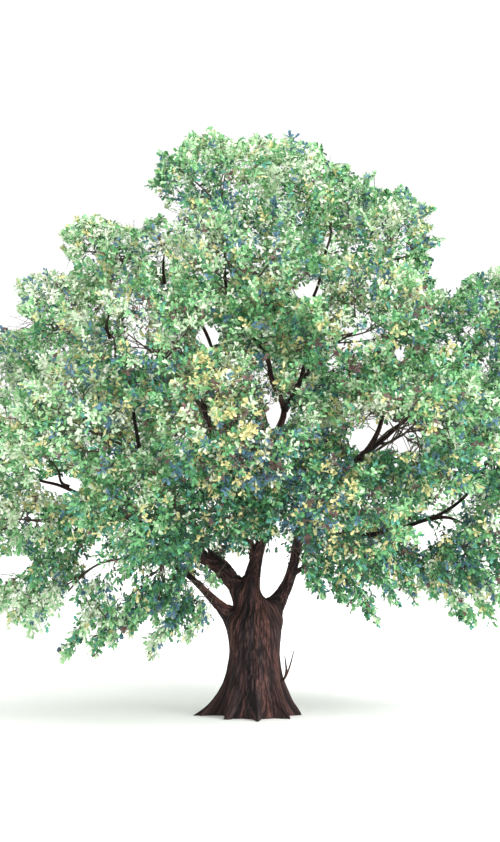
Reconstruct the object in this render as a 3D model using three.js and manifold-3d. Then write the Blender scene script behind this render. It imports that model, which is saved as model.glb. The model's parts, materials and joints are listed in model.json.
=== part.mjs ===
// An old oak grown in the open: a short stout trunk on a flared foot, four crooked boughs that part low
// down, and a broad crown of separate masses of foliage on a limb each. Millimetres, +Z up. The origin is
// at the middle of the flat cut under the trunk, at ground level, and the crown's broad face looks along -Y.
import * as THREE from "three";
import { mergeVertices } from "three/addons/utils/BufferGeometryUtils.js";
import Module from "manifold-3d";

const wasm = await Module();
wasm.setup();

// The trunk.
const trunkHeight = 3300; // from the ground to the top of the fork
const waistHeight = 2200;
const waistRadius = 765;
const forkRadius = [790, 750]; // half the breadth and half the depth where the boughs part
const forkHeight = 2700;
const crotchRadius = 380; // of the rounded top between the boughs' feet
const flareHeight = 2200; // the foot starts to spread below this
const flareRadius = 1040; // between two roots, at the ground
const rootRidge = 0.25; // half the width of a root's ridge, in radians
const roots = [
  // bearing in degrees from +X, and how far the root's toe reaches from the trunk's middle
  { bearing: 183, reach: 1980 },
  { bearing: 226, reach: 1500 },
  { bearing: 273, reach: 1560 },
  { bearing: 322, reach: 1420 },
  { bearing: 2, reach: 1530 },
  { bearing: 48, reach: 1500 },
  { bearing: 92, reach: 1620 },
  { bearing: 137, reach: 1560 },
];
const trunkSides = 36;
const trunkRings = 11;

// Limbs.
const limbShortest = 650;
const limbTip = 42; // radius where the limb enters its mass
const entryDepth = 0.9; // share of its mass's space at which a limb counts as inside it
const entryLatest = 0.94; // share of its line by which every limb ends
const limbStep = 900; // distance between rings
const limbSides = [
  // thick limbs have more sides
  { foot: 150, sides: 9 },
  { foot: 100, sides: 7 },
  { foot: 0, sides: 5 },
];
const crook = 75; // how far a limb wanders off its smooth line
const taperPower = 1.5;
const collar = 0.6; // how much wider than its foot a limb's collar is, as a share of the foot
const trunkCollar = 1.2; // the same for a limb on the trunk, where it also starts further in
const collarLength = 7; // of the foot's radius
const joint = 0.35; // clearance between a limb and what carries it, and between a mass's stem and its limb

// Foliage.
const stemSides = 4;
const stemFoot = 33; // slim enough to end inside the limb's tip
const stemEnd = 30;
const stemLap = 30; // how far back into the limb's tip the stem is drawn before the tip is cut out of it
const branchSides = 3;
const branchFoot = 27;
const branchEnd = 21;
const branchesPerMass = 5;
const branchRoots = [0.4, 0.95]; // the stretch of the stem the branches spring from
const branchStagger = 0.4; // of the gap between two of them
const branchShortest = 260;
const branchShorter = 130; // taken off a branch that does not fit, before it is tried again
const branchShare = 0.55; // of its free run
const branchBend = 200;
const runStep = 100; // free runs are measured in steps of this
const waysTried = 40;
const branchSpacing = 52; // degrees between neighbours, at the least
const slightest = 1; // edges shorter than this are closed up after fusing
const leafSites = [0.99, 0.78, 0.58]; // shares of a branch's length at which leaves sit
const leafSpreads = [62, 78, 45, 30]; // degrees between a leaf and its branch, tried in turn
const leafTurns = 5; // turns round the branch tried for each spread
const leafSwing = 0.4 * Math.PI; // how far round the branch those turns reach
const leafDroop = 0.6; // how strongly leaves weep, as a share of their twigs' weeping
const rising = 0.2; // how much twigs turn up as they grow
const weeping = 0.75; // how much those of a mass that hangs fully turn down
const leafLength = 1600; // each stands for a whole spray
const leafWidth = 1180;
const leafThickness = 56;
const leafThickest = 0.14; // share of its length at which it is thickest, close to its root for a sturdy neck
const leafWidest = 0.56; // share of a leaf's length at which it is widest
const leafSizes = [1.2, 1.1, 1, 0.9, 0.8, 0.7, 0.6]; // tried in turn until one fits
const leafFacing = new THREE.Vector3(1, 2, 1); // leaves face out of their mass, mostly to the front and back
const facingJitter = 0.9;
const leafRoot = 56; // how far from its base a leaf may meet anything
const cellMargin = 18; // clearance kept on each side of the border between two masses
const limbMargin = 70; // clearance between foliage and any limb
const woodStep = 60; // distance between the points that stand for the wood
const nearby = 300; // wood this close to a mass's space is kept clear of its foliage

// Openings through the crown: open lanes that run straight away from a point in front of the tree. Each is
// an ellipse, given where it crosses the plane of the trunk.
const lookout = new THREE.Vector3(-145, -60000, 8530);
const lanes = [
  { x: 640, z: 8700, width: 860, height: 760 },
  { x: -1330, z: 10960, width: 680, height: 820 },
  { x: 1580, z: 12270, width: 1160, height: 440 },
  { x: 3510, z: 7970, width: 1380, height: 860 },
  { x: -5540, z: 6700, width: 1270, height: 660 },
  { x: 4200, z: 10440, width: 420, height: 460 },
  { x: 4930, z: 5450, width: 930, height: 290 },
  { x: -3280, z: 14790, width: 700, height: 600 },
];

// Each limb springs from the limb or trunk named in `from`, `at` that share of its length, passes the places
// in `via` and runs into its own mass of foliage, whose middle and three half sizes follow. `foot` is the
// limb's radius where it springs. `hang` is how strongly the mass's twigs weep.
const limbs = [
  {
    name: "low_left", from: "trunk", at: 0.68, foot: 190,
    via: [
      [-860, -80, 3000], [-1300, -200, 3450], [-1780, -300, 3970], [-3000, -700, 4500],
      [-4350, -1100, 4550],
    ],
    mass: [-5300, -1400, 3700], half: [2500, 2000, 1750], hang: 1,
  },
  {
    name: "far_left", from: "trunk", at: 0.8, foot: 205,
    via: [
      [-700, 0, 3980], [-1400, -80, 4400], [-3200, -150, 5500], [-4730, 0, 6240], [-5600, 0, 6580],
      [-6350, 50, 6800],
    ],
    mass: [-7100, 200, 8500], half: [2050, 2500, 1900], hang: 0,
  },
  {
    name: "centre", from: "trunk", at: 0.85, foot: 200,
    via: [
      [-50, 0, 4000], [0, 0, 4500], [200, 0, 5000], [300, 0, 5650], [340, 0, 6700], [560, 0, 8350],
      [870, 0, 9150], [420, 0, 9800], [340, -50, 10400], [-900, -250, 12300], [-750, -400, 13200],
    ],
    mass: [-1250, -600, 15250], half: [1950, 2000, 1650], hang: 0,
  },
  {
    name: "right", from: "trunk", at: 0.78, foot: 190,
    via: [
      [600, 0, 3120], [910, 0, 3580], [1150, 0, 4200], [1240, 0, 4950], [1450, 0, 5650], [2200, 0, 6480],
      [2900, 0, 7300], [3420, 0, 7900], [3600, 50, 8500], [3820, 100, 10050], [4160, 100, 10900],
    ],
    mass: [3850, 200, 13750], half: [1650, 2000, 1700], hang: 0,
  },
  {
    name: "inner_left", from: "low_left", at: 0.42, foot: 80,
    via: [[-2500, -900, 4780]],
    mass: [-2750, -1600, 3950], half: [1450, 1800, 1850], hang: 1,
  },
  {
    name: "high_left", from: "far_left", at: 0.17, foot: 140,
    via: [
      [-1250, 50, 4780], [-2300, 0, 6100], [-3380, -50, 7800], [-3480, -50, 8700], [-4100, -50, 10300],
      [-4300, -100, 11350],
    ],
    mass: [-5500, -200, 11100], half: [2050, 2400, 1750], hang: 0,
  },
  {
    name: "skirt_left", from: "far_left", at: 0.54, foot: 75,
    via: [[-4700, 500, 5500]],
    mass: [-6600, 100, 5650], half: [2500, 2600, 1550], hang: 0.35,
  },
  {
    name: "upper_left", from: "centre", at: 0.125, foot: 110,
    via: [
      [-150, 40, 4950], [-350, 30, 5700], [-650, 0, 6700], [-1300, 0, 8350], [-1520, 0, 9300],
      [-1270, 0, 10350], [-1550, 0, 11300], [-2500, -50, 12300], [-3000, -150, 13000],
    ],
    mass: [-3950, -300, 13200], half: [1950, 2100, 1500], hang: 0,
  },
  {
    name: "top_right", from: "centre", at: 0.47, foot: 85,
    via: [[1360, 0, 9980], [1450, 0, 11000], [1760, 0, 12350], [2080, 50, 13600], [2200, 100, 14200]],
    mass: [1550, 400, 14950], half: [2150, 2100, 1700], hang: 0,
  },
  {
    name: "upper_front", from: "centre", at: 0.62, foot: 62,
    via: [[0, -700, 11000]],
    mass: [-450, -2900, 12600], half: [2600, 2200, 2150], hang: 0,
  },
  {
    name: "upper_back", from: "centre", at: 0.6, foot: 66,
    via: [[600, 1100, 11200]],
    mass: [400, 3000, 12900], half: [2700, 2400, 2100], hang: 0,
  },
  {
    name: "high_right", from: "right", at: 0.47, foot: 80,
    via: [[3980, -50, 8150], [4680, 0, 8770], [5350, 0, 9620]],
    mass: [6800, 0, 11100], half: [2150, 2400, 1850], hang: 0,
  },
  {
    name: "far_right", from: "right", at: 0.245, foot: 105,
    via: [[2100, 0, 5350], [3350, 0, 5230], [4310, 0, 5580], [5300, 0, 5760], [5990, 0, 6300]],
    mass: [7300, -300, 7950], half: [2300, 2500, 2150], hang: 0,
  },
  {
    name: "skirt_right", from: "far_right", at: 0.55, foot: 62,
    via: [[5850, 0, 5600]],
    mass: [6750, -300, 5000], half: [2650, 2700, 1950], hang: 0.6,
  },
  {
    name: "low_right", from: "right", at: 0.15, foot: 80,
    via: [[1800, -50, 4380], [2150, -400, 4550]],
    mass: [2950, -1200, 4600], half: [1750, 1900, 1300], hang: 0.8,
  },
  {
    name: "front_left", from: "high_left", at: 0.38, foot: 75,
    via: [[-3400, -1600, 7700]],
    mass: [-4600, -3900, 8300], half: [2350, 2500, 2150], hang: 0,
  },
  {
    name: "back_left", from: "high_left", at: 0.34, foot: 82,
    via: [[-3300, 1700, 7300]],
    mass: [-4700, 4100, 8200], half: [2600, 2600, 2100], hang: 0,
  },
  {
    name: "low_front_left", from: "far_left", at: 0.25, foot: 90,
    via: [[-2000, -1500, 5450]],
    mass: [-2300, -4300, 6350], half: [2850, 2200, 1750], hang: 0,
  },
  {
    name: "low_back_left", from: "far_left", at: 0.21, foot: 88,
    via: [[-1800, 1500, 5100]],
    mass: [-2800, 4500, 5800], half: [2700, 2500, 1750], hang: 0.2,
  },
  {
    name: "high_front_left", from: "upper_left", at: 0.42, foot: 72,
    via: [[-1800, -1500, 9400]],
    mass: [-2700, -4000, 10600], half: [2300, 2200, 1950], hang: 0,
  },
  {
    name: "high_back", from: "centre", at: 0.36, foot: 90,
    via: [[200, 1900, 9000]],
    mass: [-600, 4900, 10600], half: [3400, 2400, 2100], hang: 0,
  },
  {
    name: "front", from: "centre", at: 0.24, foot: 85,
    via: [[0, -2300, 7100]],
    mass: [-600, -5500, 8350], half: [2400, 2200, 2000], hang: 0,
  },
  {
    name: "back", from: "centre", at: 0.2, foot: 92,
    via: [[200, 2300, 6600]],
    mass: [200, 6200, 7900], half: [2700, 2200, 2000], hang: 0,
  },
  {
    name: "high_front_right", from: "top_right", at: 0.12, foot: 68,
    via: [[1700, -1500, 10300]],
    mass: [2800, -3800, 11000], half: [2450, 2300, 2100], hang: 0,
  },
  {
    name: "front_right", from: "right", at: 0.32, foot: 82,
    via: [[3000, -1700, 7300]],
    mass: [4350, -4200, 8500], half: [2500, 2600, 2200], hang: 0,
  },
  {
    name: "back_right", from: "right", at: 0.29, foot: 88,
    via: [[2800, 1900, 7200]],
    mass: [4600, 4200, 8500], half: [2650, 2700, 2200], hang: 0,
  },
  {
    name: "low_front_right", from: "right", at: 0.21, foot: 85,
    via: [[1500, -1700, 5750]],
    mass: [2200, -4500, 6400], half: [2750, 2200, 1700], hang: 0,
  },
  {
    name: "low_back_right", from: "right", at: 0.18, foot: 88,
    via: [[1500, 1700, 5300]],
    mass: [3000, 4700, 5850], half: [2700, 2500, 1750], hang: 0.2,
  },
];

// A bare two-pronged shoot low on the trunk's right side.
const shoot = {
  foot: 44, tip: 13, sides: 5, rings: 4,
  main: [[760, -120, 960], [905, -150, 1180], [1010, -150, 1450], [1130, -140, 1890]],
  prong: [[880, -150, 1130], [905, -190, 1350], [860, -230, 1740]],
};

const colours = { bark: 0x45352f, shoot: 0x5a4a44, foliage: 0x6f9a5c };

// Repeatable random numbers from 0 to 1.
function seeded(seed) {
  let state = (seed * 7919 + 12345) % 4294967296;
  return () => {
    state = (state * 1664525 + 1013904223) % 4294967296;
    return state / 4294967296;
  };
}

const vector = (p) => new THREE.Vector3(...p);

// Solids.

function solidOf(geometry) {
  const bare = geometry.clone();
  bare.deleteAttribute("normal");
  bare.deleteAttribute("uv");
  const merged = mergeVertices(bare, 1e-3);
  return new wasm.Manifold(
    new wasm.Mesh({
      numProp: 3,
      vertProperties: merged.attributes.position.array,
      triVerts: new Uint32Array(merged.index.array),
    }),
  );
}

// The solid's largest piece: cutting and skipping can leave loose scraps.
function largestPiece(solid) {
  return solid.decompose().reduce((best, piece) => (piece.volume() > best.volume() ? piece : best));
}

function meshOf(name, solid, colour, roughness) {
  const mesh = solid.getMesh();
  const geometry = new THREE.BufferGeometry();
  geometry.setAttribute("position", new THREE.BufferAttribute(mesh.vertProperties, 3));
  geometry.setIndex(new THREE.BufferAttribute(mesh.triVerts, 1));
  geometry.computeVertexNormals();
  const material = new THREE.MeshStandardMaterial({ color: colour, roughness, metalness: 0 });
  const made = new THREE.Mesh(geometry, material);
  made.name = name;
  return made;
}

// A cylinder bent along a curve, with its own radius at each share of the curve's length.
function bentCylinder(curve, radiusAt, sides, rings) {
  const geometry = new THREE.CylinderGeometry(1, 1, 1, sides, rings);
  const frames = curve.computeFrenetFrames(rings, false);
  const position = geometry.attributes.position;
  const corner = new THREE.Vector3();
  for (let i = 0; i < position.count; i++) {
    const share = position.getY(i) + 0.5;
    const ring = Math.round(share * rings);
    const radius = radiusAt(share);
    const across = new THREE.Vector3().crossVectors(frames.normals[ring], frames.tangents[ring]);
    corner
      .copy(curve.getPointAt(share))
      .addScaledVector(frames.normals[ring], position.getX(i) * radius)
      .addScaledVector(across, position.getZ(i) * radius);
    position.setXYZ(i, corner.x, corner.y, corner.z);
  }
  return geometry;
}

const smooth = (points) => new THREE.CatmullRomCurve3(points, false, "catmullrom", 0.5);

// The stretch of a curve between two shares of its length.
function stretch(curve, from, to, pieces) {
  const points = [];
  for (let i = 0; i <= pieces; i++) points.push(curve.getPointAt(from + ((to - from) * i) / pieces));
  return smooth(points);
}

// Trunk.

// The trunk's surface at a bearing and a height: a waist, a fork that broadens to carry the boughs, and a
// foot that spreads into ridged roots.
function trunkRadius(bearing, height) {
  const x = Math.cos(bearing);
  const y = Math.sin(bearing);
  const forkEdge = 1 / Math.hypot(x / forkRadius[0], y / forkRadius[1]);
  const towardsFork = THREE.MathUtils.smoothstep(height, waistHeight, forkHeight);
  let radius = THREE.MathUtils.lerp(waistRadius, forkEdge, towardsFork);
  const domed = THREE.MathUtils.smoothstep(height, forkHeight, trunkHeight);
  radius = THREE.MathUtils.lerp(radius, crotchRadius, domed);
  const spread = Math.max(0, 1 - height / flareHeight);
  radius += (flareRadius - waistRadius) * spread ** 2;
  for (const root of roots) {
    const away = Math.abs(((((bearing * 180) / Math.PI - root.bearing) % 360) + 540) % 360 - 180);
    const ridge = Math.exp(-((THREE.MathUtils.degToRad(away) / rootRidge) ** 2));
    radius += (root.reach - flareRadius) * ridge * spread ** 3;
  }
  return radius;
}

// More rings near the ground, where the foot curves most.
const ringHeight = (share) => trunkHeight * share ** 1.5;

function trunkSolid(extra) {
  const geometry = new THREE.CylinderGeometry(1, 1, 1, trunkSides, trunkRings);
  geometry.rotateX(Math.PI / 2);
  const position = geometry.attributes.position;
  for (let i = 0; i < position.count; i++) {
    const share = position.getZ(i) + 0.5;
    const height = ringHeight(share);
    const middle = Math.hypot(position.getX(i), position.getY(i)) < 0.5;
    const bearing = Math.atan2(position.getY(i), position.getX(i));
    const radius = middle ? 0 : trunkRadius(bearing, height) + extra;
    const top = share > 0.999 ? extra : 0;
    position.setXYZ(i, radius * Math.cos(bearing), radius * Math.sin(bearing), height + top);
  }
  return solidOf(geometry);
}

// Space round the limbs: each mass keeps to its own ellipsoid and to its own side of the flat border with
// each neighbour.

for (const limb of limbs) {
  limb.centre = vector(limb.mass);
  limb.weight = ((limb.half[0] + limb.half[1] + limb.half[2]) / 3) ** 2;
}

function insideMass(limb, point, share, margin) {
  const off = point.clone().sub(limb.centre);
  const stretchOut = Math.hypot(off.x / limb.half[0], off.y / limb.half[1], off.z / limb.half[2]);
  if (stretchOut > share) return false;
  const own = point.distanceToSquared(limb.centre) - limb.weight;
  return limbs.every((other) => {
    if (other === limb) return true;
    const theirs = point.distanceToSquared(other.centre) - other.weight;
    return theirs - own > 2 * margin * other.centre.distanceTo(limb.centre);
  });
}

function inLane(point) {
  const along = -lookout.y / (point.y - lookout.y);
  const x = lookout.x + (point.x - lookout.x) * along;
  const z = lookout.z + (point.z - lookout.z) * along;
  const off = (lane) => Math.hypot((2 * (x - lane.x)) / lane.width, (2 * (z - lane.z)) / lane.height);
  return lanes.some((lane) => off(lane) < 1);
}

// Limbs.

const limbNamed = (name) => limbs.find((limb) => limb.name === name);
const trunkLine = smooth([[0, 0, 0], [-30, 0, trunkHeight / 2], [0, 0, trunkHeight]].map(vector));

// A step of random length and direction.
const jitterBy = (random, size) =>
  new THREE.Vector3(random() - 0.5, random() - 0.5, random() - 0.5).multiplyScalar(size);

// A limb's line from its foot to the middle of its mass, with a little seeded wandering between them.
function crookedLine(limb, seed) {
  const random = seeded(seed);
  const parent = limb.from === "trunk" ? trunkLine : limbNamed(limb.from).line;
  const foot = parent.getPointAt(limb.at);
  const direct = smooth([foot, ...limb.via.map(vector), limb.centre]);
  const pieces = Math.max(4, Math.round(direct.getLength() / limbStep));
  const points = [];
  for (let i = 0; i <= pieces; i++) {
    const point = direct.getPointAt(i / pieces);
    const wander = jitterBy(random, 2 * crook);
    if (i > 0 && i < pieces) point.add(wander);
    points.push(point);
  }
  return smooth(points);
}

// The share of its line at which a limb enters its mass and stays in it.
function entryShare(limb) {
  const steps = 200;
  const shortest = limbShortest / limb.line.getLength();
  let share = 1;
  const within = () => insideMass(limb, limb.line.getPointAt(share), entryDepth, limbTip + cellMargin);
  while (share > shortest && within()) share -= 1 / steps;
  return Math.min(share + 1 / steps, entryLatest);
}

function limbRadius(limb, share) {
  const onTrunk = limb.from === "trunk";
  const taper = Math.max(0, 1 - share / limb.entry) ** taperPower;
  const collarReach = collarLength * limb.foot + (onTrunk ? waistRadius : 0);
  const fromCollar = Math.max(0, 1 - (share * limb.line.getLength()) / collarReach);
  const swelling = limb.foot * (onTrunk ? trunkCollar : collar);
  return limbTip + (limb.foot - limbTip) * taper + swelling * fromCollar ** 2;
}

limbs.forEach((limb, index) => {
  limb.line = crookedLine(limb, index + 1);
  limb.entry = entryShare(limb);
});

// A limb's wood, or with `extra` the same grown all round, which clears a space for it.
function limbSolid(limb, extra) {
  const length = limb.line.getLength();
  const rings = Math.max(3, Math.round((length * limb.entry) / limbStep));
  const wood = stretch(limb.line, 0, limb.entry + extra / length, rings);
  const radiusAt = (share) => limbRadius(limb, share * limb.entry) + extra;
  const { sides } = limbSides.find((kind) => limb.foot >= kind.foot);
  return solidOf(bentCylinder(wood, radiusAt, sides, rings));
}

// Points along all limbs and the trunk, with their radii, for keeping foliage clear of the wood.
const woodPoints = [];
function noteWood(line, to, radiusAt) {
  const steps = Math.ceil((line.getLength() * to) / woodStep);
  for (let i = 0; i <= steps; i++) {
    const share = (to * i) / steps;
    woodPoints.push({ at: line.getPointAt(share), radius: radiusAt(share) });
  }
}
noteWood(trunkLine, 1, () => forkRadius[0]);
limbs.forEach((limb) => noteWood(limb.line, limb.entry, (share) => limbRadius(limb, share)));

const touchesWood = (point, near) =>
  near.some((wood) => point.distanceTo(wood.at) < wood.radius + limbMargin);

// Foliage.

// Directions spread evenly over a sphere, by the golden angle.
function evenDirection(index, count, turn) {
  const height = 1 - (2 * index + 1) / count;
  const around = index * Math.PI * (3 - Math.sqrt(5)) + turn;
  const flat = Math.sqrt(1 - height * height);
  return new THREE.Vector3(flat * Math.cos(around), flat * Math.sin(around), height);
}

// One leaf, for a whole spray: eight faces, widest past its middle, with its root at `base`.
function leafCorners(base, direction, face, length) {
  const side = new THREE.Vector3().crossVectors(direction, face).normalize();
  const up = new THREE.Vector3().crossVectors(side, direction);
  const at = (x, y, z) =>
    base.clone().addScaledVector(side, x).addScaledVector(direction, y).addScaledVector(up, z);
  const scale = length / leafLength;
  const half = (leafWidth / 2) * scale;
  const widest = leafWidest * length;
  return {
    root: at(0, 0, 0),
    tip: at(0, length, 0),
    right: at(half, widest, 0),
    left: at(-half, widest, 0),
    above: at(0, leafThickest * length, leafThickness / 2),
    below: at(0, leafThickest * length, -leafThickness / 2),
  };
}

function leafGeometry(corners) {
  const geometry = new THREE.OctahedronGeometry(1, 0);
  const position = geometry.attributes.position;
  const named = {
    "1,0,0": "right", "-1,0,0": "left", "0,1,0": "tip", "0,-1,0": "root", "0,0,1": "above", "0,0,-1": "below",
  };
  for (let i = 0; i < position.count; i++) {
    const key = [position.getX(i), position.getY(i), position.getZ(i)].map((v) => Math.round(v) || 0).join();
    position.setXYZ(i, ...corners[named[key]].toArray());
  }
  return geometry;
}

// Points over a leaf's blade, close enough together to find a limb or a lane that it would cross.
function bladePoints({ root, tip, left, right }) {
  const points = [root, tip, left, right];
  for (const edge of [left, right, root.clone().lerp(tip, leafWidest)]) {
    for (const share of [0.3, 0.55, 0.8, 1]) points.push(root.clone().lerp(edge, share));
    for (const share of [0.25, 0.5, 0.75]) points.push(edge.clone().lerp(tip, share));
  }
  return points;
}

// Twigs of a drooping mass turn down as they grow, and the others rise a little.
function leaning(direction, hang) {
  const lift = hang > 0 ? -weeping * hang : rising;
  return direction.clone().add(new THREE.Vector3(0, 0, lift)).normalize();
}

function massSolid(limb, seed) {
  const random = seeded(seed + 500);
  const range = Math.max(...limb.half) + nearby;
  const near = woodPoints.filter((wood) => wood.at.distanceTo(limb.centre) < range + wood.radius);
  const fits = (points) =>
    points.every((p) => insideMass(limb, p, 1, cellMargin) && !inLane(p) && !touchesWood(p, near));

  // The stem carries on along the limb's own line.
  const stem = stretch(limb.line, limb.entry - stemLap / limb.line.getLength(), 1, 3);
  const stemRadius = (share) => THREE.MathUtils.lerp(stemFoot, stemEnd, share);
  const branchRadius = (share) => THREE.MathUtils.lerp(branchFoot, branchEnd, share);
  let made = solidOf(bentCylinder(stem, stemRadius, stemSides, 3));

  // How far a twig can run from the mass's middle before it leaves the mass or meets wood or an opening.
  const freeRun = (along) => {
    let run = 0;
    while (fits([limb.centre.clone().addScaledVector(along, run + runStep)])) run += runStep;
    return run;
  };

  // Branches take the longest free runs that keep well apart from each other.
  const ways = [];
  for (let i = 0; i < waysTried; i++) {
    const along = leaning(evenDirection(i, waysTried, seed), limb.hang);
    ways.push({ along, run: freeRun(along) });
  }
  ways.sort((one, other) => other.run - one.run);
  const chosen = [];
  for (const way of ways) {
    const between = (other) => THREE.MathUtils.radToDeg(other.along.angleTo(way.along));
    const apart = chosen.every((other) => between(other) > branchSpacing);
    if (chosen.length < branchesPerMass && apart) chosen.push(way);
  }
  const branches = [];
  for (const [i, { along, run }] of chosen.entries()) {
    const place = (i + branchStagger * random()) / branchesPerMass;
    const root = stem.getPointAt(THREE.MathUtils.lerp(...branchRoots, place));
    const bend = jitterBy(random, branchBend);
    const longest = Math.max(run * branchShare, branchShortest);
    for (let length = longest; length >= branchShortest; length -= branchShorter) {
      const end = limb.centre.clone().addScaledVector(along, length);
      const line = smooth([root, root.clone().lerp(end, 0.5).add(bend), end]);
      if (!fits([0.3, 0.5, 0.7, 0.85, 1].map((share) => line.getPointAt(share)))) continue;
      branches.push(line);
      made = made.add(solidOf(bentCylinder(line, branchRadius, branchSides, 2)));
      break;
    }
  }

  // The leaf with the largest size, then the widest spread, that fits at a place on a branch.
  const leafAt = (base, tangent, across, outward, firstTurn) => {
    for (const size of leafSizes) {
      for (const spread of leafSpreads) {
        for (let turn = 0; turn < leafTurns; turn++) {
          const axis = across.clone().applyAxisAngle(tangent, firstTurn + (turn * leafSwing) / leafTurns);
          const direction = tangent.clone().applyAxisAngle(axis, THREE.MathUtils.degToRad(spread));
          const drooped = leaning(direction, limb.hang * leafDroop);
          const corners = leafCorners(base, drooped, outward, size * leafLength);
          if (!fits(bladePoints(corners))) continue;
          const blade = solidOf(leafGeometry(corners));
          const met = made.intersect(blade);
          if (met.isEmpty()) continue;
          const { min, max } = met.boundingBox();
          const furthest = base.clone().sub(vector(min)).toArray().concat(vector(max).sub(base).toArray());
          if (Math.max(...furthest) < leafRoot) return blade;
        }
      }
    }
    return null;
  };
  for (const line of branches) {
    const start = 2 * Math.PI * random();
    for (const [k, share] of leafSites.entries()) {
      const base = line.getPointAt(share);
      const tangent = line.getTangentAt(share);
      const across = new THREE.Vector3().crossVectors(tangent, new THREE.Vector3(0.2, 0.1, 1)).normalize();
      const outward = base.clone().sub(limb.centre).normalize().multiply(leafFacing);
      outward.add(jitterBy(random, facingJitter));
      const blade = leafAt(base, tangent, across, outward, start + (k * 2 * Math.PI) / leafSites.length);
      if (blade) made = made.add(blade);
    }
  }
  return largestPiece(made.asOriginal().simplify(slightest).subtract(limbSolid(limb, joint)));
}

// Assembly. Each limb is cut a hair clear of the wood that was there before it.
const group = new THREE.Group();
const wood = [{ solid: trunkSolid(0), cutter: trunkSolid(joint) }];
group.add(meshOf("trunk", wood[0].solid, colours.bark, 0.95));

function addWood(name, solid, cutter, colour) {
  let cut = solid;
  for (const other of wood) cut = cut.subtract(other.cutter);
  cut = largestPiece(cut.asOriginal().simplify(slightest / 10));
  wood.push({ solid: cut, cutter });
  group.add(meshOf(name, cut, colour, 0.95));
}

for (const limb of limbs) {
  addWood("bough_" + limb.name, limbSolid(limb, 0), limbSolid(limb, joint), colours.bark);
}

const shootStem = (points, extra) =>
  solidOf(
    bentCylinder(
      smooth(points.map(vector)),
      (share) => THREE.MathUtils.lerp(shoot.foot, shoot.tip, share) + extra,
      shoot.sides,
      shoot.rings,
    ),
  );
const shootSolid = (extra) => shootStem(shoot.main, extra).add(shootStem(shoot.prong, extra - 10));
addWood("base_shoot", shootSolid(0), shootSolid(joint), colours.shoot);

limbs.forEach((limb, index) => {
  group.add(meshOf("leaves_" + limb.name, massSolid(limb, index + 1), colours.foliage, 0.7));
});

export default group;
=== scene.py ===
"""An old oak in full leaf: furrowed bark over trunk and limbs, and foliage in sprays on fine twigs.

The limbs follow the same named routes as the solids, and each mass of foliage fills the same space, open
in the same places. Metres, +Z up, the crown's broad face towards -Y.
"""
import json
import math

import bpy
import numpy as np
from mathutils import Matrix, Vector

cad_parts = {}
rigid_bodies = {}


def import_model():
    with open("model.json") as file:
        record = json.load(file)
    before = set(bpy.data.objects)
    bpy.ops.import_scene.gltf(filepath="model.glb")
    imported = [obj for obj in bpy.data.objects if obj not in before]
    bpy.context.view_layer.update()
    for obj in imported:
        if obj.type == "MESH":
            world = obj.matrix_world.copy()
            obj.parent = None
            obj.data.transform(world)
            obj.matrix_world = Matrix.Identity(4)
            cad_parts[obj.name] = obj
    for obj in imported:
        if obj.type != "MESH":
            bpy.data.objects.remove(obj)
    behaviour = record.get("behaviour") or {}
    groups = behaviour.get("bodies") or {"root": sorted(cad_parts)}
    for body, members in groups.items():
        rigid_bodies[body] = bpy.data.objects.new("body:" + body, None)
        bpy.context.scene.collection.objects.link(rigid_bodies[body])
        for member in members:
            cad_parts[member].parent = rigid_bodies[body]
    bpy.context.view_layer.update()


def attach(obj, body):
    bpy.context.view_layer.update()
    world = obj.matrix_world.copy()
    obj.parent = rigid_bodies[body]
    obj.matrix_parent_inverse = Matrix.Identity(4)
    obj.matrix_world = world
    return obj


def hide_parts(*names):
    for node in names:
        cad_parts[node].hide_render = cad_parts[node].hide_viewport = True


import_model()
bpy.ops.object.select_all(action="DESELECT")

# Camera, at a standing distance across an open field.
LOOKOUT = np.array([-0.145, -60.0, 8.53])
VIEW_HEIGHT = 24.418
SENSOR = 36
bpy.ops.object.camera_add(location=LOOKOUT, rotation=(math.pi / 2, 0, 0))
camera = bpy.context.object
camera.data.sensor_width = SENSOR
camera.data.lens = SENSOR * abs(LOOKOUT[1]) / VIEW_HEIGHT
camera.data.clip_end = 500
bpy.context.scene.camera = camera

# Light: a white sky, a soft sun, and a warm side light on the trunk.
SKY_STRENGTH = 1.12
SUN_WAY = Vector((-0.72, 0.42, -0.6))
SUN_STRENGTH = 2.6
SUN_SOFTNESS = math.radians(25)
SIDE_LIGHT = Vector((50, -34, 1.2))
SIDE_LIT = Vector((0, 0, 1.9))
SIDE_STRENGTH = 190000

# Random numbers by the solids' rule, and the numbers that scatter the relief.
SEED_STEP = 7919
SEED_START = 12345
CHANCE_STEP = 1664525
CHANCE_SHIFT = 1013904223
CHANCE_SPAN = 4294967296
HASH_PRIMES = (73856093, 19349663, 83492791)
HASH_SEED = 2654435761
HASH_MIX = 1274126177
HASH_BITS = 0xFFFFF

# How finely lines and meshes are worked out.
CHUNK = 4000
LINE_STEPS = 201
WOOD_STEP = 0.06
AXIS_STEP = 0.05
FORM_STEP = 0.12
ROD_STEP = 0.06
ROD_SIDES = 14
ROD_LAP = 0.1
SHORTEST_ROD = 0.02
SWAP_STEPS = 400
UPRIGHT = 0.8
VOXEL = 0.0235
SOFTENING = 6

# The trunk. Its roots are given by bearing in degrees and reach.
TRUNK_HEIGHT = 3.3
TRUNK_LEAN = -0.03
WAIST_HEIGHT = 2.2
WAIST_RADIUS = 0.765
FORK_RADIUS = (0.79, 0.75)
FORK_HEIGHT = 2.7
CROTCH_RADIUS = 0.38
CROTCH_DOME = 0.08
FLARE_HEIGHT = 2.2
FLARE_RADIUS = 1.04
ROOT_RIDGE = 0.25
TOE_TAPER = 0.5
ROOTS = [(183, 1.98), (226, 1.5), (273, 1.56), (322, 1.42), (2, 1.53), (48, 1.5), (92, 1.62), (137, 1.56)]
RIB = 0.075
RIB_SINK = 0.35
RIB_HEIGHT = 1.3
GROUND_DEPTH = 0.12
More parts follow.
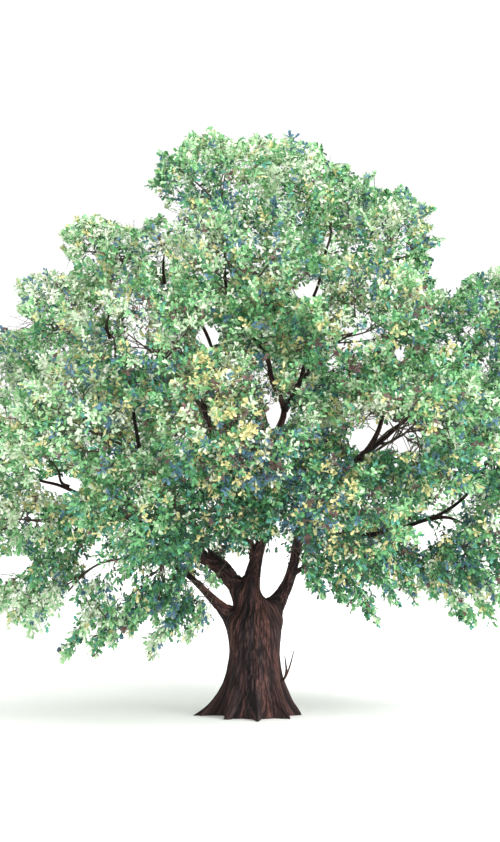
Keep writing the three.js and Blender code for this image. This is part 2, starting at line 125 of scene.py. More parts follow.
# The ball that is drawn out into the trunk: its sides and rings, and the shares of it under the cut and
# below the crotch.
TRUNK_SIDES = 160
TRUNK_RINGS = 120
CUT_SHARE = 0.08
CLOSING_SHARE = 0.94
CLIMB_POWER = 1.25

# The smooth blend of trunk and limbs round the fork.
MAIN_LIMB = 0.105
SHORTEST_THICK = 1.1
FORK_MIDDLE = np.array([0, 0, 3.6])
FORK_REACH = 3
FULL_FILL = 0.75
FILL_BEYOND = 0.5
FILL_ROUNDS = 3
BLEND = 0.085
LONGEST_PUSH = 0.3
PUSH_SHARE = 0.7

# The bark's furrows, by size, weight and seed, and its wider gnarls.
FURROW = 0.055
FURROW_MORE = 0.03
FURROWS = ((1, 0.65, 3), (0.45, 0.35, 8))
FURROW_SIDES = (0.02, 0.42)
FURROW_STRETCH = 4.2
FURROW_DEPTH = 0.045
FURROW_SHARE = 0.16
RIDGE_LEVEL = 0.7
CRACK_STRETCH = 6
FURROW_DRIFT = 0.03
CRACK_DRIFT = 0.02
FURROW_START = 50
KEY_ROUND = 0.7
KEY_ALONG = 0.3
GNARLS = 1.7
GNARL_PATTERN = (1, 20, 5)
GNARL_DEPTH = 0.09
GNARL_SHARE = 0.2

# Limbs, by the same rule as the solids.
LIMB_TIP = 0.042
LIMB_STEP = 0.9
LIMB_SHORTEST = 0.65
CROOK = 0.075
TAPER_POWER = 1.5
COLLAR = 0.6
COLLAR_LENGTH = 7
TRUNK_COLLAR = 1.2
STEM_LAP = 0.03
CELL_MARGIN = 0.018
LIMB_MARGIN = 0.07
ENTRY_SHARE = 0.9
ENTRY_STEP = 1 / 200
LAST_ENTRY = 0.94
# Each limb's name and parent as in the solids, the share of the parent's length at which it springs, its
# foot radius and the places it passes, then its mass's middle, half sizes and how strongly its twigs weep.
LIMBS = [
    ("low_left", "trunk", 0.68, 0.19,
     [(-0.86, -0.08, 3.0), (-1.3, -0.2, 3.45), (-1.78, -0.3, 3.97), (-3.0, -0.7, 4.5), (-4.35, -1.1, 4.55)],
     (-5.3, -1.4, 3.7), (2.5, 2.0, 1.75), 1),
    ("far_left", "trunk", 0.8, 0.205,
     [(-0.7, 0, 3.98), (-1.4, -0.08, 4.4), (-3.2, -0.15, 5.5), (-4.73, 0, 6.24), (-5.6, 0, 6.58),
      (-6.35, 0.05, 6.8)],
     (-7.1, 0.2, 8.5), (2.05, 2.5, 1.9), 0),
    ("centre", "trunk", 0.85, 0.2,
     [(-0.05, 0, 4.0), (0.0, 0, 4.5), (0.2, 0, 5.0), (0.3, 0, 5.65), (0.34, 0, 6.7), (0.56, 0, 8.35),
      (0.87, 0, 9.15), (0.42, 0, 9.8), (0.34, -0.05, 10.4), (-0.9, -0.25, 12.3), (-0.75, -0.4, 13.2)],
     (-1.25, -0.6, 15.25), (1.95, 2.0, 1.65), 0),
    ("right", "trunk", 0.78, 0.19,
     [(0.6, 0, 3.12), (0.91, 0, 3.58), (1.15, 0, 4.2), (1.24, 0, 4.95), (1.45, 0, 5.65), (2.2, 0, 6.48),
      (2.9, 0, 7.3), (3.42, 0, 7.9), (3.6, 0.05, 8.5), (3.82, 0.1, 10.05), (4.16, 0.1, 10.9)],
     (3.85, 0.2, 13.75), (1.65, 2.0, 1.7), 0),
    ("inner_left", "low_left", 0.42, 0.08, [(-2.5, -0.9, 4.78)], (-2.75, -1.6, 3.95), (1.45, 1.8, 1.85), 1),
    ("high_left", "far_left", 0.17, 0.14,
     [(-1.25, 0.05, 4.78), (-2.3, 0, 6.1), (-3.38, -0.05, 7.8), (-3.48, -0.05, 8.7), (-4.1, -0.05, 10.3),
      (-4.3, -0.1, 11.35)],
     (-5.5, -0.2, 11.1), (2.05, 2.4, 1.75), 0),
    ("skirt_left", "far_left", 0.54, 0.075, [(-4.7, 0.5, 5.5)], (-6.6, 0.1, 5.65), (2.5, 2.6, 1.55), 0.35),
    ("upper_left", "centre", 0.125, 0.11,
     [(-0.15, 0.04, 4.95), (-0.35, 0.03, 5.7), (-0.65, 0, 6.7), (-1.3, 0, 8.35), (-1.52, 0, 9.3),
      (-1.27, 0, 10.35), (-1.55, 0, 11.3), (-2.5, -0.05, 12.3), (-3.0, -0.15, 13.0)],
     (-3.95, -0.3, 13.2), (1.95, 2.1, 1.5), 0),
    ("top_right", "centre", 0.47, 0.085,
     [(1.36, 0, 9.98), (1.45, 0, 11.0), (1.76, 0, 12.35), (2.08, 0.05, 13.6), (2.2, 0.1, 14.2)],
     (1.55, 0.4, 14.95), (2.15, 2.1, 1.7), 0),
    ("upper_front", "centre", 0.62, 0.062, [(0, -0.7, 11.0)], (-0.45, -2.9, 12.6), (2.6, 2.2, 2.15), 0),
    ("upper_back", "centre", 0.6, 0.066, [(0.6, 1.1, 11.2)], (0.4, 3.0, 12.9), (2.7, 2.4, 2.1), 0),
    ("high_right", "right", 0.47, 0.08, [(3.98, -0.05, 8.15), (4.68, 0, 8.77), (5.35, 0, 9.62)],
     (6.8, 0, 11.1), (2.15, 2.4, 1.85), 0),
    ("far_right", "right", 0.245, 0.105,
     [(2.1, 0, 5.35), (3.35, 0, 5.23), (4.31, 0, 5.58), (5.3, 0, 5.76), (5.99, 0, 6.3)],
     (7.3, -0.3, 7.95), (2.3, 2.5, 2.15), 0),
    ("skirt_right", "far_right", 0.55, 0.062, [(5.85, 0, 5.6)], (6.75, -0.3, 5), (2.65, 2.7, 1.95), 0.6),
    ("low_right", "right", 0.15, 0.08, [(1.8, -0.05, 4.38), (2.15, -0.4, 4.55)],
     (2.95, -1.2, 4.6), (1.75, 1.9, 1.3), 0.8),
    ("front_left", "high_left", 0.38, 0.075, [(-3.4, -1.6, 7.7)], (-4.6, -3.9, 8.3), (2.35, 2.5, 2.15), 0),
    ("back_left", "high_left", 0.34, 0.082, [(-3.3, 1.7, 7.3)], (-4.7, 4.1, 8.2), (2.6, 2.6, 2.1), 0),
    ("low_front_left", "far_left", 0.25, 0.09, [(-2.0, -1.5, 5.45)],
     (-2.3, -4.3, 6.35), (2.85, 2.2, 1.75), 0),
    ("low_back_left", "far_left", 0.21, 0.088, [(-1.8, 1.5, 5.1)], (-2.8, 4.5, 5.8), (2.7, 2.5, 1.75), 0.2),
    ("high_front_left", "upper_left", 0.42, 0.072, [(-1.8, -1.5, 9.4)],
     (-2.7, -4.0, 10.6), (2.3, 2.2, 1.95), 0),
    ("high_back", "centre", 0.36, 0.09, [(0.2, 1.9, 9.0)], (-0.6, 4.9, 10.6), (3.4, 2.4, 2.1), 0),
    ("front", "centre", 0.24, 0.085, [(0, -2.3, 7.1)], (-0.6, -5.5, 8.35), (2.4, 2.2, 2.0), 0),
    ("back", "centre", 0.2, 0.092, [(0.2, 2.3, 6.6)], (0.2, 6.2, 7.9), (2.7, 2.2, 2.0), 0),
    ("high_front_right", "top_right", 0.12, 0.068, [(1.7, -1.5, 10.3)],
     (2.8, -3.8, 11), (2.45, 2.3, 2.1), 0),
    ("front_right", "right", 0.32, 0.082, [(3.0, -1.7, 7.3)], (4.35, -4.2, 8.5), (2.5, 2.6, 2.2), 0),
    ("back_right", "right", 0.29, 0.088, [(2.8, 1.9, 7.2)], (4.6, 4.2, 8.5), (2.65, 2.7, 2.2), 0),
    ("low_front_right", "right", 0.21, 0.085, [(1.5, -1.7, 5.75)], (2.2, -4.5, 6.4), (2.75, 2.2, 1.7), 0),
    ("low_back_right", "right", 0.18, 0.088, [(1.5, 1.7, 5.3)], (3.0, 4.7, 5.85), (2.7, 2.5, 1.75), 0.2),
]

# The bare shoot low on the trunk.
SHOOT_FOOT = 0.044
SHOOT_TIP = 0.013
SHOOT = [
    [(0.6, -0.08, 0.8), (0.76, -0.12, 0.96), (0.905, -0.15, 1.18), (1.01, -0.15, 1.45), (1.13, -0.14, 1.89)],
    [(0.88, -0.15, 1.13), (0.905, -0.19, 1.35), (0.86, -0.23, 1.74)],
]

# Short bare prongs on the limbs, which show in the crown's openings.
PRONG_FOOT = 0.055
PRONG_TIP = 0.014
PRONGS = [
    [(-5.38, 0, 6.62), (-5.62, 0, 6.76), (-5.72, 0, 7.12), (-5.98, 0, 7.42)],
    [(3.3, 0, 7.68), (3.55, 0, 7.85), (3.92, 0, 7.92), (4.12, 0, 8.12), (4.2, 0, 8.4)],
    [(-2.62, -0.05, 12.5), (-2.66, -0.05, 12.95), (-2.62, -0.05, 13.5)],
    [(-4.2, -0.1, 10.9), (-4.3, -0.1, 11.35), (-4.15, -0.1, 11.8), (-4.2, -0.1, 12.3)],
]
# Both kinds: routes, radii at foot and tip, sides, number of their bark, and step.
BARE_SHOOTS = [(SHOOT, SHOOT_FOOT, SHOOT_TIP, 10, 60, 0.04), (PRONGS, PRONG_FOOT, PRONG_TIP, 8, 70, 0.06)]

# Open lanes through the crown: where each crosses the plane of the trunk (x, z), and its width and height.
LANES = np.array([
    (0.64, 8.7, 0.86, 0.76), (-1.33, 10.96, 0.68, 0.82), (1.58, 12.27, 1.16, 0.44), (3.42, 7.98, 1.6, 0.86),
    (-5.54, 6.7, 1.27, 0.66), (4.2, 10.44, 0.42, 0.46), (4.75, 5.5, 0.66, 0.22), (-3.28, 14.79, 0.7, 0.6),
])
# Smaller openings, between the sprays of one mass and between the limbs at the fork.
GLIMPSES = np.array([
    (-3.3, 10.73, 0.42, 0.46), (-6.96, 4.41, 1.1, 0.5), (-3.7, 3.7, 0.42, 0.5),
    (0.64, 4.12, 0.74, 1.7), (-0.54, 4.34, 0.8, 0.84), (-0.8, 3.54, 0.7, 0.86),
])
OPENINGS = np.vstack([LANES, GLIMPSES])
OPEN_WIDER = 1.1
RAGGED_OPENING = (0.72, 1.08)
# Stretches of limb that show from the front, with no leaf before them: half the width kept clear, then
# points (x, z) along each.
SHOWING = [
    (0.14, [(-3.48, 8.7), (-3.39, 7.83)]), (0.15, [(-4.15, 10.44), (-4.26, 11.45), (-4.7, 11.89)]),
    (0.14, [(0.46, 9.37), (0.38, 10.2)]), (0.13, [(-0.96, 12.2), (-0.73, 13.05)]),
    (0.13, [(1.07, 9.54), (1.36, 10.0)]), (0.12, [(2.06, 13.66), (2.23, 14.18)]),
    (0.14, [(-2.55, 12.5), (-2.7, 13.3)]), (0.14, [(-1.25, 8.35), (-1.65, 9.05)]),
    (0.14, [(3.34, 5.19), (3.6, 5.34)]), (0.13, [(4.32, 5.57), (5.85, 6.19)]),
    (0.24, [(-0.3, 3.6), (-1.35, 4.6)]),
    (0.24, [(-0.7, 2.85), (-1.3, 3.45), (-1.78, 3.97)]), (0.2, [(-0.06, 4.0), (0.1, 4.9)]),
    (0.2, [(0.6, 3.1), (1.15, 4.2), (1.2, 4.9)]), (0.12, [(-5.62, 6.8), (-5.95, 7.4)]),
    (0.13, [(2.95, 7.4), (3.42, 7.9), (3.75, 8.35)]), (0.12, [(3.55, 7.85), (4.2, 8.35)]),
]
BEFORE_LIMB = 0.1
# Foliage before the rest of the limbs hides them, and some stands close behind the stretches that show.
SHOWING_EDGE = 0.22
HIDING_WIDTH = 0.5
HIDING_DEPTH = -0.5
FRONT_WOOD_DEPTH = 0.6
FRONT_WOOD_LOW = 6
BACKED = 0.35
BACKING = (0.4, 3)
# Tips in the crown's outline that long shoots reach, as they show from the front (x, z), for each mass.
TIPS = {
    "centre": [(-3.34, 15.46), (-2.76, 16.33), (-1.74, 16.82), (-1.28, 17.08), (-0.58, 16.68)],
    "top_right": [(0, 16.94), (0.9, 16.76), (1.8, 16.65), (2.67, 15.95)],
    "right": [(3.48, 15.69), (4.23, 15.37), (5.25, 14.73), (5.42, 13.72), (5.08, 13.28), (5.1, 12.6)],
    "high_right": [(5.42, 12.27), (6.5, 12.85), (7.1, 13.14), (8.2, 12.6), (9.0, 11.6)],
    "upper_left": [(-5.3, 14.59), (-5.63, 14.09), (-5.54, 13.51),
                   (-4.73, 14.53), (-4.23, 14.36), (-2.7, 14.5)],
    "high_left": [(-6.41, 12.85), (-6.96, 12.56), (-6.96, 11.77), (-7.34, 11.25)],
    "far_left": [(-8.5, 10.3), (-9.1, 9.3), (-9.2, 7.9)],
    "far_right": [(9.4, 9.4), (9.6, 8.2), (9.4, 7.0)],
    "low_left": [(-8.1, 3.1), (-7.5, 3.1), (-7.15, 2.85), (-6.76, 2.61),
                 (-5.6, 1.68), (-4.84, 1.89), (-4.26, 2.18)],
    "inner_left": [(-3.75, 2.5), (-3.0, 3.0), (-3.19, 1.89), (-2.76, 2.25), (-2.12, 2.12),
                   (-1.65, 3.19), (-1.05, 3.95), (-1.2, 4.3)],
    "low_right": [(2.03, 3.57), (2.75, 3.34), (3.72, 2.72), (4.06, 3.34)],
    "skirt_right": [(4.64, 3.5), (5.3, 3.5), (5.9, 3.25), (6.35, 2.8), (6.6, 3.4), (6.95, 2.85), (7.2, 3.3),
                    (8.0, 2.9), (8.8, 3.5)],
}
# The crown's outline from the front, over the top from its left side to its right: tips, and the notches
# between them. Below its skirts the outline is left to the hanging strands.
OUTLINE_EDGE = [
    (-9.6, 2), (-9.6, 10.4), (-7.4, 11.25), (-6.99, 11.14), (-6.53, 11.17), (-6.24, 11.43), (-6.67, 11.57),
    (-6.9, 11.75), (-6.67, 12.01), (-6.9, 12.27), (-6.93, 12.56), (-6.41, 12.79), (-5.8, 12.88),
    (-5.37, 12.7), (-5.13, 12.96), (-5.54, 13.46), (-5.31, 13.63), (-5.63, 13.8), (-5.6, 14.09),
    (-5.19, 14.18), (-5.31, 14.59), (-4.99, 14.38), (-4.67, 14.5), (-4.21, 14.3), (-3.62, 14.09),
    (-3.25, 13.98), (-3.1, 14.27), (-2.64, 14.5), (-2.38, 14.21), (-2.12, 14.53), (-2.61, 14.73),
    (-2.96, 14.88), (-2.81, 15.08), (-3.19, 15.34), (-2.76, 15.57), (-2.99, 15.92), (-2.64, 16.01),
    (-2.84, 16.3), (-2.35, 16.15), (-2.06, 16.59), (-1.74, 16.91), (-1.57, 16.7), (-1.33, 17.08),
    (-0.93, 16.79), (-0.55, 16.56), (-0.15, 16.94), (0.2, 16.7), (0.93, 16.82), (1.31, 16.82),
    (1.48, 16.59), (1.8, 16.65), (1.97, 16.18), (2.26, 15.83), (2.61, 15.95), (2.84, 15.54), (3.51, 15.75),
    (3.22, 15.23), (3.65, 15.23), (3.92, 15.02), (4.23, 15.4), (4.5, 14.99), (4.84, 14.85), (5.31, 14.7),
    (4.67, 14.3), (5.16, 14.09), (4.84, 13.83), (5.51, 13.72), (4.79, 13.43), (5.13, 13.2), (4.9, 12.7),
    (5.22, 12.59), (5.08, 12.33), (5.57, 12.24), (5.6, 11.95), (5.83, 12.18), (6.03, 12.59), (6.53, 12.88),
    (7.11, 12.96), (9, 12.9), (9.9, 11), (9.9, 2),
]
SKIRT_TOP = 5
RAGGED_OUTLINE = (-0.1, 0.14)
TIP_SPARE = 0.05
FACE_MIDDLE = np.array([0.2, 9.0])
FACE_HALF = np.array([9.4, 8.0])

# Streamers: long shoots with sprays along them, out to the tips.
STREAMER_DEPTHS = (-0.35, 0.3)
STREAMER_SHORT = 0.3
STREAMER_START = 0.5
STREAMER_STEP = 0.2
STREAMER_SIZE = 0.75
STREAMER_THINNING = 0.42
STREAMER_MARGIN = 0.05
STREAMER_PULL = 1.3
STREAMER_SPREAD = 0.34
ROOT_JITTER = 0.15
END_JITTER = 0.12
END_DROP = 0.1
FOOT_JITTER = 0.07
STRAND_LEAN = 0.7
STRAND_DROP = 1.6
STRAND_BELOW = 0.5

# The masses of foliage: where sprays spring in them.
CROWN_MIDDLE = np.array([0.2, 0.2, 8.2])
CROWN_HALF = np.array([9.2, 8.2, 8.6])
CROWN_CORE = np.array([0.2, 0.2, 6.6])
BOX_LOW = np.array([-9.34, -7.7, 1.4])
BOX_HIGH = np.array([9.76, 8.5, 17.1])
SPRAY_SPACING = 0.5
GRID_JITTER = 0.45
SPRAY_MARGIN = 0.1
FOOT_SHARE = 0.8
FOOT_SPARE = 0.02
PLANE_DEPTH = 2
BULGE = 0.45
BULGE_DEEP = 0.5
INNER_SHARE = 0.45
DEEP = 0.45
THINNED = 0.2
# Where foliage gathers in clumps, by the relief: its size, start and seed.
CLUMPS = (1.15, 31, 21)
HOLLOW = 0.26
WEEPING = 0.5
WEEP_LEVEL = 0.6
WEEP_RAGGED = (-0.15, 0.1)

# The branches of a mass, as in its solid, and the twigs that bear its sprays.
WAYS_TRIED = 40
RUN_STEPS = 40
RUN_STEP = 0.1
BRANCHES = 5
BRANCH_SEED = 500
BRANCH_WEEP = 0.75
BRANCH_RISE = 0.2
BRANCH_SHARE = 0.55
BRANCH_SPACING = 52
BRANCH_SHORTEST = 0.26
BRANCH_CUT = 0.13
BRANCH_BEND = 0.2
BRANCH_TESTED = (0.3, 0.5, 0.7, 0.85, 1)
BRANCH_FOOT = 0.027
BRANCH_TIP = 0.016
FIRST_ROOT = 0.4
ROOTS_OVER = 0.55
ROOT_STAGGER = 0.4
STEM_TIP = 0.026
MAIN_RINGS = 7
TWIG_RADIUS = 0.0065
TWIG_GROWTH = 0.42
THICKEST_TWIG = 0.028
TWIG_BOW = 0.09
TWIG_SAG = 0.05
FORWARD = 0.4
TWIGS_FROM = 0.15
TWIG_PLACES = 8

# Sprays: how long they are, and which way they grow and curl.
SPRAY_SEED = 2024
SPRAY_LENGTHS = (0.52, 1.0)
OUTWARD_PULL = 0.75
CORE_PUSH = 0.8
WAY_SPREAD = 0.36
RISE = 0.22
WEEP = 0.95
LEADERS = 0.25
LEADER_FACING = 0.3
LEADER_LENGTH = 1.35
LEADER_REACH = 1.14
BORDER = (0.93, 1.06)
SHORTENINGS = 9
SHORTENED = 0.84
CURLS = (-0.1, 0.22)
CURL_WEEP = 0.4
CURL_BEND = 1.4
SPRAY_MIDDLE = 0.55

# Side shoots along each spray.
SIDE_SHOOTS = 5
SHOOTS_OVER = (0.12, 0.78)
SHOOT_JITTER = 0.05
SHOOT_ANGLES = (0.6, 1.05)
SHOOT_RISE = 0.1
SHOOT_WEEP = 0.35
SHOOT_LONGEST = 0.56
SHOOT_TAPER = 0.4
SHOOT_LENGTHS = (0.8, 1.2)
MAIN_SHOOT_SHARES = (0.0, 0.5, 0.97)
MAIN_SHOOT_RADII = (0.0065, 0.005, 0.001)
SIDE_SHOOT_RADII = (0.0045, 0.001)
FULL_TURN = 6.28
NEXT_TURN = 2.4

# Leaves along each side shoot and along the spray's own shoot. LOBES is half a leaf's outline.
SIDE_LEAVES = 4
SIDE_LEAVES_OVER = (0.34, 1)
MAIN_LEAVES = 8
MAIN_LEAVES_OVER = (0.25, 0.94)
MAIN_LEAVES_LAST = [0.99, 1.0]
LEAF_LENGTH = 0.172
LEAF_SIZES = (0.72, 1.22)
LEAF_MIDDLE = 0.55
LEAF_MARGIN = 0.04
LEAF_ANGLES = (0.55, 1.2)
TIP_LEAF_ANGLE = 0.25
LEAF_DROOP = 0.12
LEAF_WEEP = 0.2
LEAF_OUTWARD = 0.6
LEAF_UPWARD = np.array([0, -0.15, 0.6])
LEAF_TILT = 0.5
LEAF_FOLD = 0.3
LOBES = [(0.24, 0.33), (0.15, 0.5), (0.27, 0.74)]
# The share of leaves on the smallest spray, and on a spray deep inside the crown.
LEAFY = 0.3
LEAFY_INSIDE = 0.5
LEAFY_FROM = 0.2
LEAFY_OVER = 0.4

# Tints from light to dark, with light and dark shades and then the share of the leaves in each of the first
# eight, in order of lightness. The first eight paint light and shade on the leaves, from painted highlight
# to painted shade. The last three are for odd shoots.
TINTS = [
    ("leaf_silver", (252, 255, 242), (238, 250, 220)),
    ("leaf_pale", (236, 252, 222), (208, 238, 198)),
    ("leaf_light", (194, 238, 184), (158, 212, 150)),
    ("leaf_fresh", (154, 216, 154), (118, 184, 120)),
    ("leaf_mid", (118, 186, 128), (86, 152, 96)),
    ("leaf_cool", (116, 190, 168), (84, 154, 136)),
    ("leaf_deep", (90, 152, 102), (62, 118, 74)),
    ("leaf_shade", (74, 114, 92), (50, 84, 68)),
    ("leaf_slate", (112, 152, 172), (76, 112, 134)),
    ("leaf_umber", (140, 112, 108), (102, 82, 82)),
    ("leaf_gold", (242, 238, 182), (218, 210, 142)),
]
TINT_SHARES = (0.09, 0.16, 0.2, 0.18, 0.13, 0.08, 0.1, 0.06)
# What makes a spray lighter or darker, by weight: painted light where it looks up, on the tops of clumps, at
# the crown's edge, on its left, in its heart and on hanging strands; painted shade low in the middle; and
# random tone.
# Each patch on the crown's face has a middle and half sizes.
LIGHT_EVEN = 0.5
LIGHT_UPWARD = 0.16
LIGHT_CLUMP = 0.9
CLUMP_TOP = 0.45
LIGHT_EDGE = 0.24
EDGE_EVEN = 0.55
CORE_SHADE = 0.3
CORE_PATCH = ((0.2, 5.6), (3.8, 2.0))
LIGHT_HEART = 0.12
HEART_PATCH = ((0.2, 8.8), (5.0, 3.6))
LIGHT_LEFT = 0.17
LEFT_REACH = 7
LIGHT_STRAND = 0.1
SPRAY_VARIES = 0.1
SHOOT_VARIES = 0.15
LEAF_VARIES = 0.1
# Drifts of odd shoots, by the relief: its size, start and seed, then where a drift begins and is full.
COOL_DRIFTS = (1.5, 11, 41)
COOL_EDGE = (0.5, 0.8)
WARM_DRIFTS = (1.2, 17, 57)
WARM_EDGE = (0.48, 0.8)
BLUISH_LEAST = 0.025
BLUISH_DRIFT = 0.22
BROWN_LEAST = 0.015
BROWN_HEART = 0.07
STRAW_LEAST = 0.02
STRAW_HEART = 0.06
STRAW_DRIFT = 0.3
STRAW_OUTSIDE = 0.25


def unit(v):
    v = np.asarray(v, float)
    return v / np.maximum(np.linalg.norm(v, axis=-1, keepdims=True), 1e-9)


def smoothstep(value, low, high):
    t = np.clip((value - low) / (high - low), 0, 1)
    return t * t * (3 - 2 * t)


def in_chunks(test, points):
    """What a test says of many points, taken a few thousand at a time to spare memory."""
    starts = range(0, max(1, len(points)), CHUNK)
    return np.concatenate([test(points[start : start + CHUNK]) for start in starts])


def gathered(parts):
    """Many sets of the same facts as one set, each fact in one array."""
    return [np.concatenate(facts) for facts in zip(*parts)]


class Chance:
    """Repeatable random numbers from 0 to 1, the same as those of the solids."""

    def __init__(self, seed):
        self.state = (seed * SEED_STEP + SEED_START) % CHANCE_SPAN

    def next(self):
        self.state = (self.state * CHANCE_STEP + CHANCE_SHIFT) % CHANCE_SPAN
        return self.state / CHANCE_SPAN

    def jitter(self, size):
        return np.array([self.next() - 0.5, self.next() - 0.5, self.next() - 0.5]) * size


class Line:
    """A smooth line through points, read by share of its length."""

    def __init__(self, points):
        p = np.asarray(points, float)
        self.points = np.vstack([2 * p[0] - p[1], p, 2 * p[-1] - p[-2]])
        self.last = len(p) - 1
        self.steps = np.linspace(0, 1, LINE_STEPS)
        places = self.raw(self.steps)
        self.run = np.concatenate([[0], np.cumsum(np.linalg.norm(np.diff(places, axis=0), axis=1))])
        self.length = self.run[-1]

    def raw(self, t):
        t = np.clip(np.atleast_1d(t), 0, 1) * self.last
        i = np.minimum(t.astype(int), self.last - 1)
        w = (t - i)[:, None]
        a, b, c, d = (self.points[i + k] for k in range(4))
        m, n = (c - a) / 2, (d - b) / 2
        return b + m * w + (3 * (c - b) - 2 * m - n) * w**2 + (2 * (b - c) + m + n) * w**3

    def at(self, share):
        return self.raw(np.interp(np.atleast_1d(share) * self.length, self.run, self.steps))

    def one(self, share):
        return self.at(share)[0]

    def stretch(self, start, end, pieces):
        return Line(self.at(np.linspace(start, end, pieces + 1)))


class Limb:
    """A limb and the mass of foliage at its end, from one row of LIMBS."""

    def __init__(self, index, row):
        self.name, self.parent, self.spring, self.foot, self.via, middle, half, self.hang = row
        self.seed = index + 1
        self.middle = np.array(middle)
        self.half = np.array(half)
        self.weight = self.half.mean() ** 2

    def radius(self, share):
        from_trunk = self.parent == "trunk"
        reach = COLLAR_LENGTH * self.foot + (WAIST_RADIUS if from_trunk else 0)
        swelling = self.foot * (TRUNK_COLLAR if from_trunk else COLLAR)
        taper = np.maximum(0, 1 - share / self.entry) ** TAPER_POWER
        collar = np.maximum(0, 1 - share * self.line.length / reach) ** 2
        return LIMB_TIP + (self.foot - LIMB_TIP) * taper + swelling * collar


limbs = [Limb(i, row) for i, row in enumerate(LIMBS)]
named = {limb.name: limb for limb in limbs}
middles = np.array([limb.middle for limb in limbs])
halves = np.array([limb.half for limb in limbs])
weights = np.array([limb.weight for limb in limbs])


def inside(limb, points, share=1.0, margin=CELL_MARGIN):
    """Whether points lie in a limb's mass.

    They do in its ellipsoid, on its own side of the border with each neighbour.
    """
    points = np.atleast_2d(points)
    out = np.linalg.norm((points - limb.middle) / limb.half, axis=1)
    power = ((points[:, None] - middles) ** 2).sum(-1) - weights
    me = limb.seed - 1
    room = power - power[:, me : me + 1]
    need = 2 * margin * np.linalg.norm(middles - limb.middle, axis=1)
    room[:, me] = 1
    need[me] = 0
    return (out <= share) & (room > need).all(axis=1)


def seen_at(points):
    """Where points show in the plane of the trunk, seen from the lookout."""
    along = -LOOKOUT[1] / (points[:, 1] - LOOKOUT[1])
    return LOOKOUT[[0, 2]] + (points[:, [0, 2]] - LOOKOUT[[0, 2]]) * along[:, None]


def in_opening(points, openings, edge=1.0):
    """Whether points show in an opening, seen from the lookout."""
    seen = seen_at(np.atleast_2d(points))
    off = 2 * (seen[:, None] - openings[:, :2]) / openings[:, 2:]
    return (np.linalg.norm(off, axis=2) < edge).any(axis=1)


def along_showing(seen, wider=0):
    """Whether places in the plane of the trunk lie along a stretch of limb that shows."""
    near = np.zeros(len(seen), bool)
    for width, route in SHOWING:
        for start, way in zip(np.array(route), np.diff(route, axis=0)):
            part = np.clip(((seen - start) @ way) / (way @ way), 0, 1)
            near |= np.linalg.norm(seen - start - part[:, None] * way, axis=1) < width + wider
    return near


def past_outline(points, spare=0.0):
    """Whether points show outside the crown's outline, or closer inside it than is spare."""
    seen = seen_at(points)
    reach = np.linalg.norm(seen - FACE_MIDDLE, axis=1)
    seen = FACE_MIDDLE + (seen - FACE_MIDDLE) * (1 - spare / reach)[:, None]
    # A place is outside when a level line from it crosses the outline an even number of times.
    crossings = np.zeros(len(seen), int)
    for (x0, z0), (x1, z1) in zip(OUTLINE_EDGE, OUTLINE_EDGE[1:] + OUTLINE_EDGE[:1]):
        level = (seen[:, 1] >= min(z0, z1)) & (seen[:, 1] < max(z0, z1))
        if z0 != z1:
            crossings += level & (seen[:, 0] < x0 + (seen[:, 1] - z0) * (x1 - x0) / (z1 - z0))
    return (crossings % 2 == 0) & (seen[:, 1] > SKIRT_TOP)


# The limbs' lines, each with the same slight seeded wandering as its solid.
trunk_line = Line([(0, 0, 0), (TRUNK_LEAN, 0, TRUNK_HEIGHT / 2), (0, 0, TRUNK_HEIGHT)])
for limb in limbs:
    chance = Chance(limb.seed)
    parent_line = trunk_line if limb.parent == "trunk" else named[limb.parent].line
    direct = Line([parent_line.one(limb.spring), *limb.via, limb.middle])
    pieces = max(4, int(direct.length / LIMB_STEP + 0.5))
    places = direct.at(np.linspace(0, 1, pieces + 1))
    for i in range(pieces + 1):
        wander = chance.jitter(2 * CROOK)
        if 0 < i < pieces:
            places[i] += wander
    limb.line = Line(places)
    share = 1.0
    shortest = LIMB_SHORTEST / limb.line.length
    while share > shortest and inside(limb, limb.line.at(share), ENTRY_SHARE, LIMB_TIP + CELL_MARGIN)[0]:
        share -= ENTRY_STEP
    limb.entry = min(share + ENTRY_STEP, LAST_ENTRY)

wood = []
for line, end, radius_at in [(trunk_line, 1, lambda share: share * 0 + FORK_RADIUS[0])] + [
    (limb.line, limb.entry, limb.radius) for limb in limbs
]:
    shares = np.linspace(0, end, math.ceil(line.length * end / WOOD_STEP) + 1)
    wood.append((line.at(shares), radius_at(shares)))
wood_at, wood_radius = gathered(wood)


def touches_wood(points, margin=LIMB_MARGIN):
    def touching(some):
        far = np.linalg.norm(some[:, None] - wood_at, axis=2)
        return (far < wood_radius + margin).any(axis=1)

    return in_chunks(touching, points)


# Meshes from arrays.


def hand_over(piece, material, replaced):
    piece.data.materials.clear()
    piece.data.materials.append(material)
    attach(piece, "root")
    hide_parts(*replaced)


def mesh_piece(name, parts, material, replaced):
    """A piece made from parts, each with its points and faces, which stands for the named solids."""
    points, faces, start = [], [], 0
    for some_points, some_faces in parts:
        points.append(some_points)
        faces.append(some_faces + start)
        start += len(some_points)
    points, faces = np.vstack(points), np.vstack(faces)
    print(name, len(faces))
    mesh = bpy.data.meshes.new(name)
    mesh.vertices.add(len(points))
    mesh.vertices.foreach_set("co", np.asarray(points, np.float32).ravel())
    mesh.loops.add(faces.size)
    mesh.loops.foreach_set("vertex_index", faces.astype(np.int32).ravel())
    mesh.polygons.add(len(faces))
    mesh.polygons.foreach_set("loop_start", np.arange(0, faces.size, faces.shape[1], dtype=np.int32))
    mesh.update(calc_edges=True)
    piece = bpy.data.objects.new(name, mesh)
    bpy.context.collection.objects.link(piece)
    hand_over(piece, material, replaced)
    return piece


def helper_for(ways):
    """For each way, an axis that it doesn't run along."""
    return np.where(np.abs(ways[..., 2:]) < UPRIGHT, [0.0, 0.0, 1.0], [1.0, 0.0, 0.0])


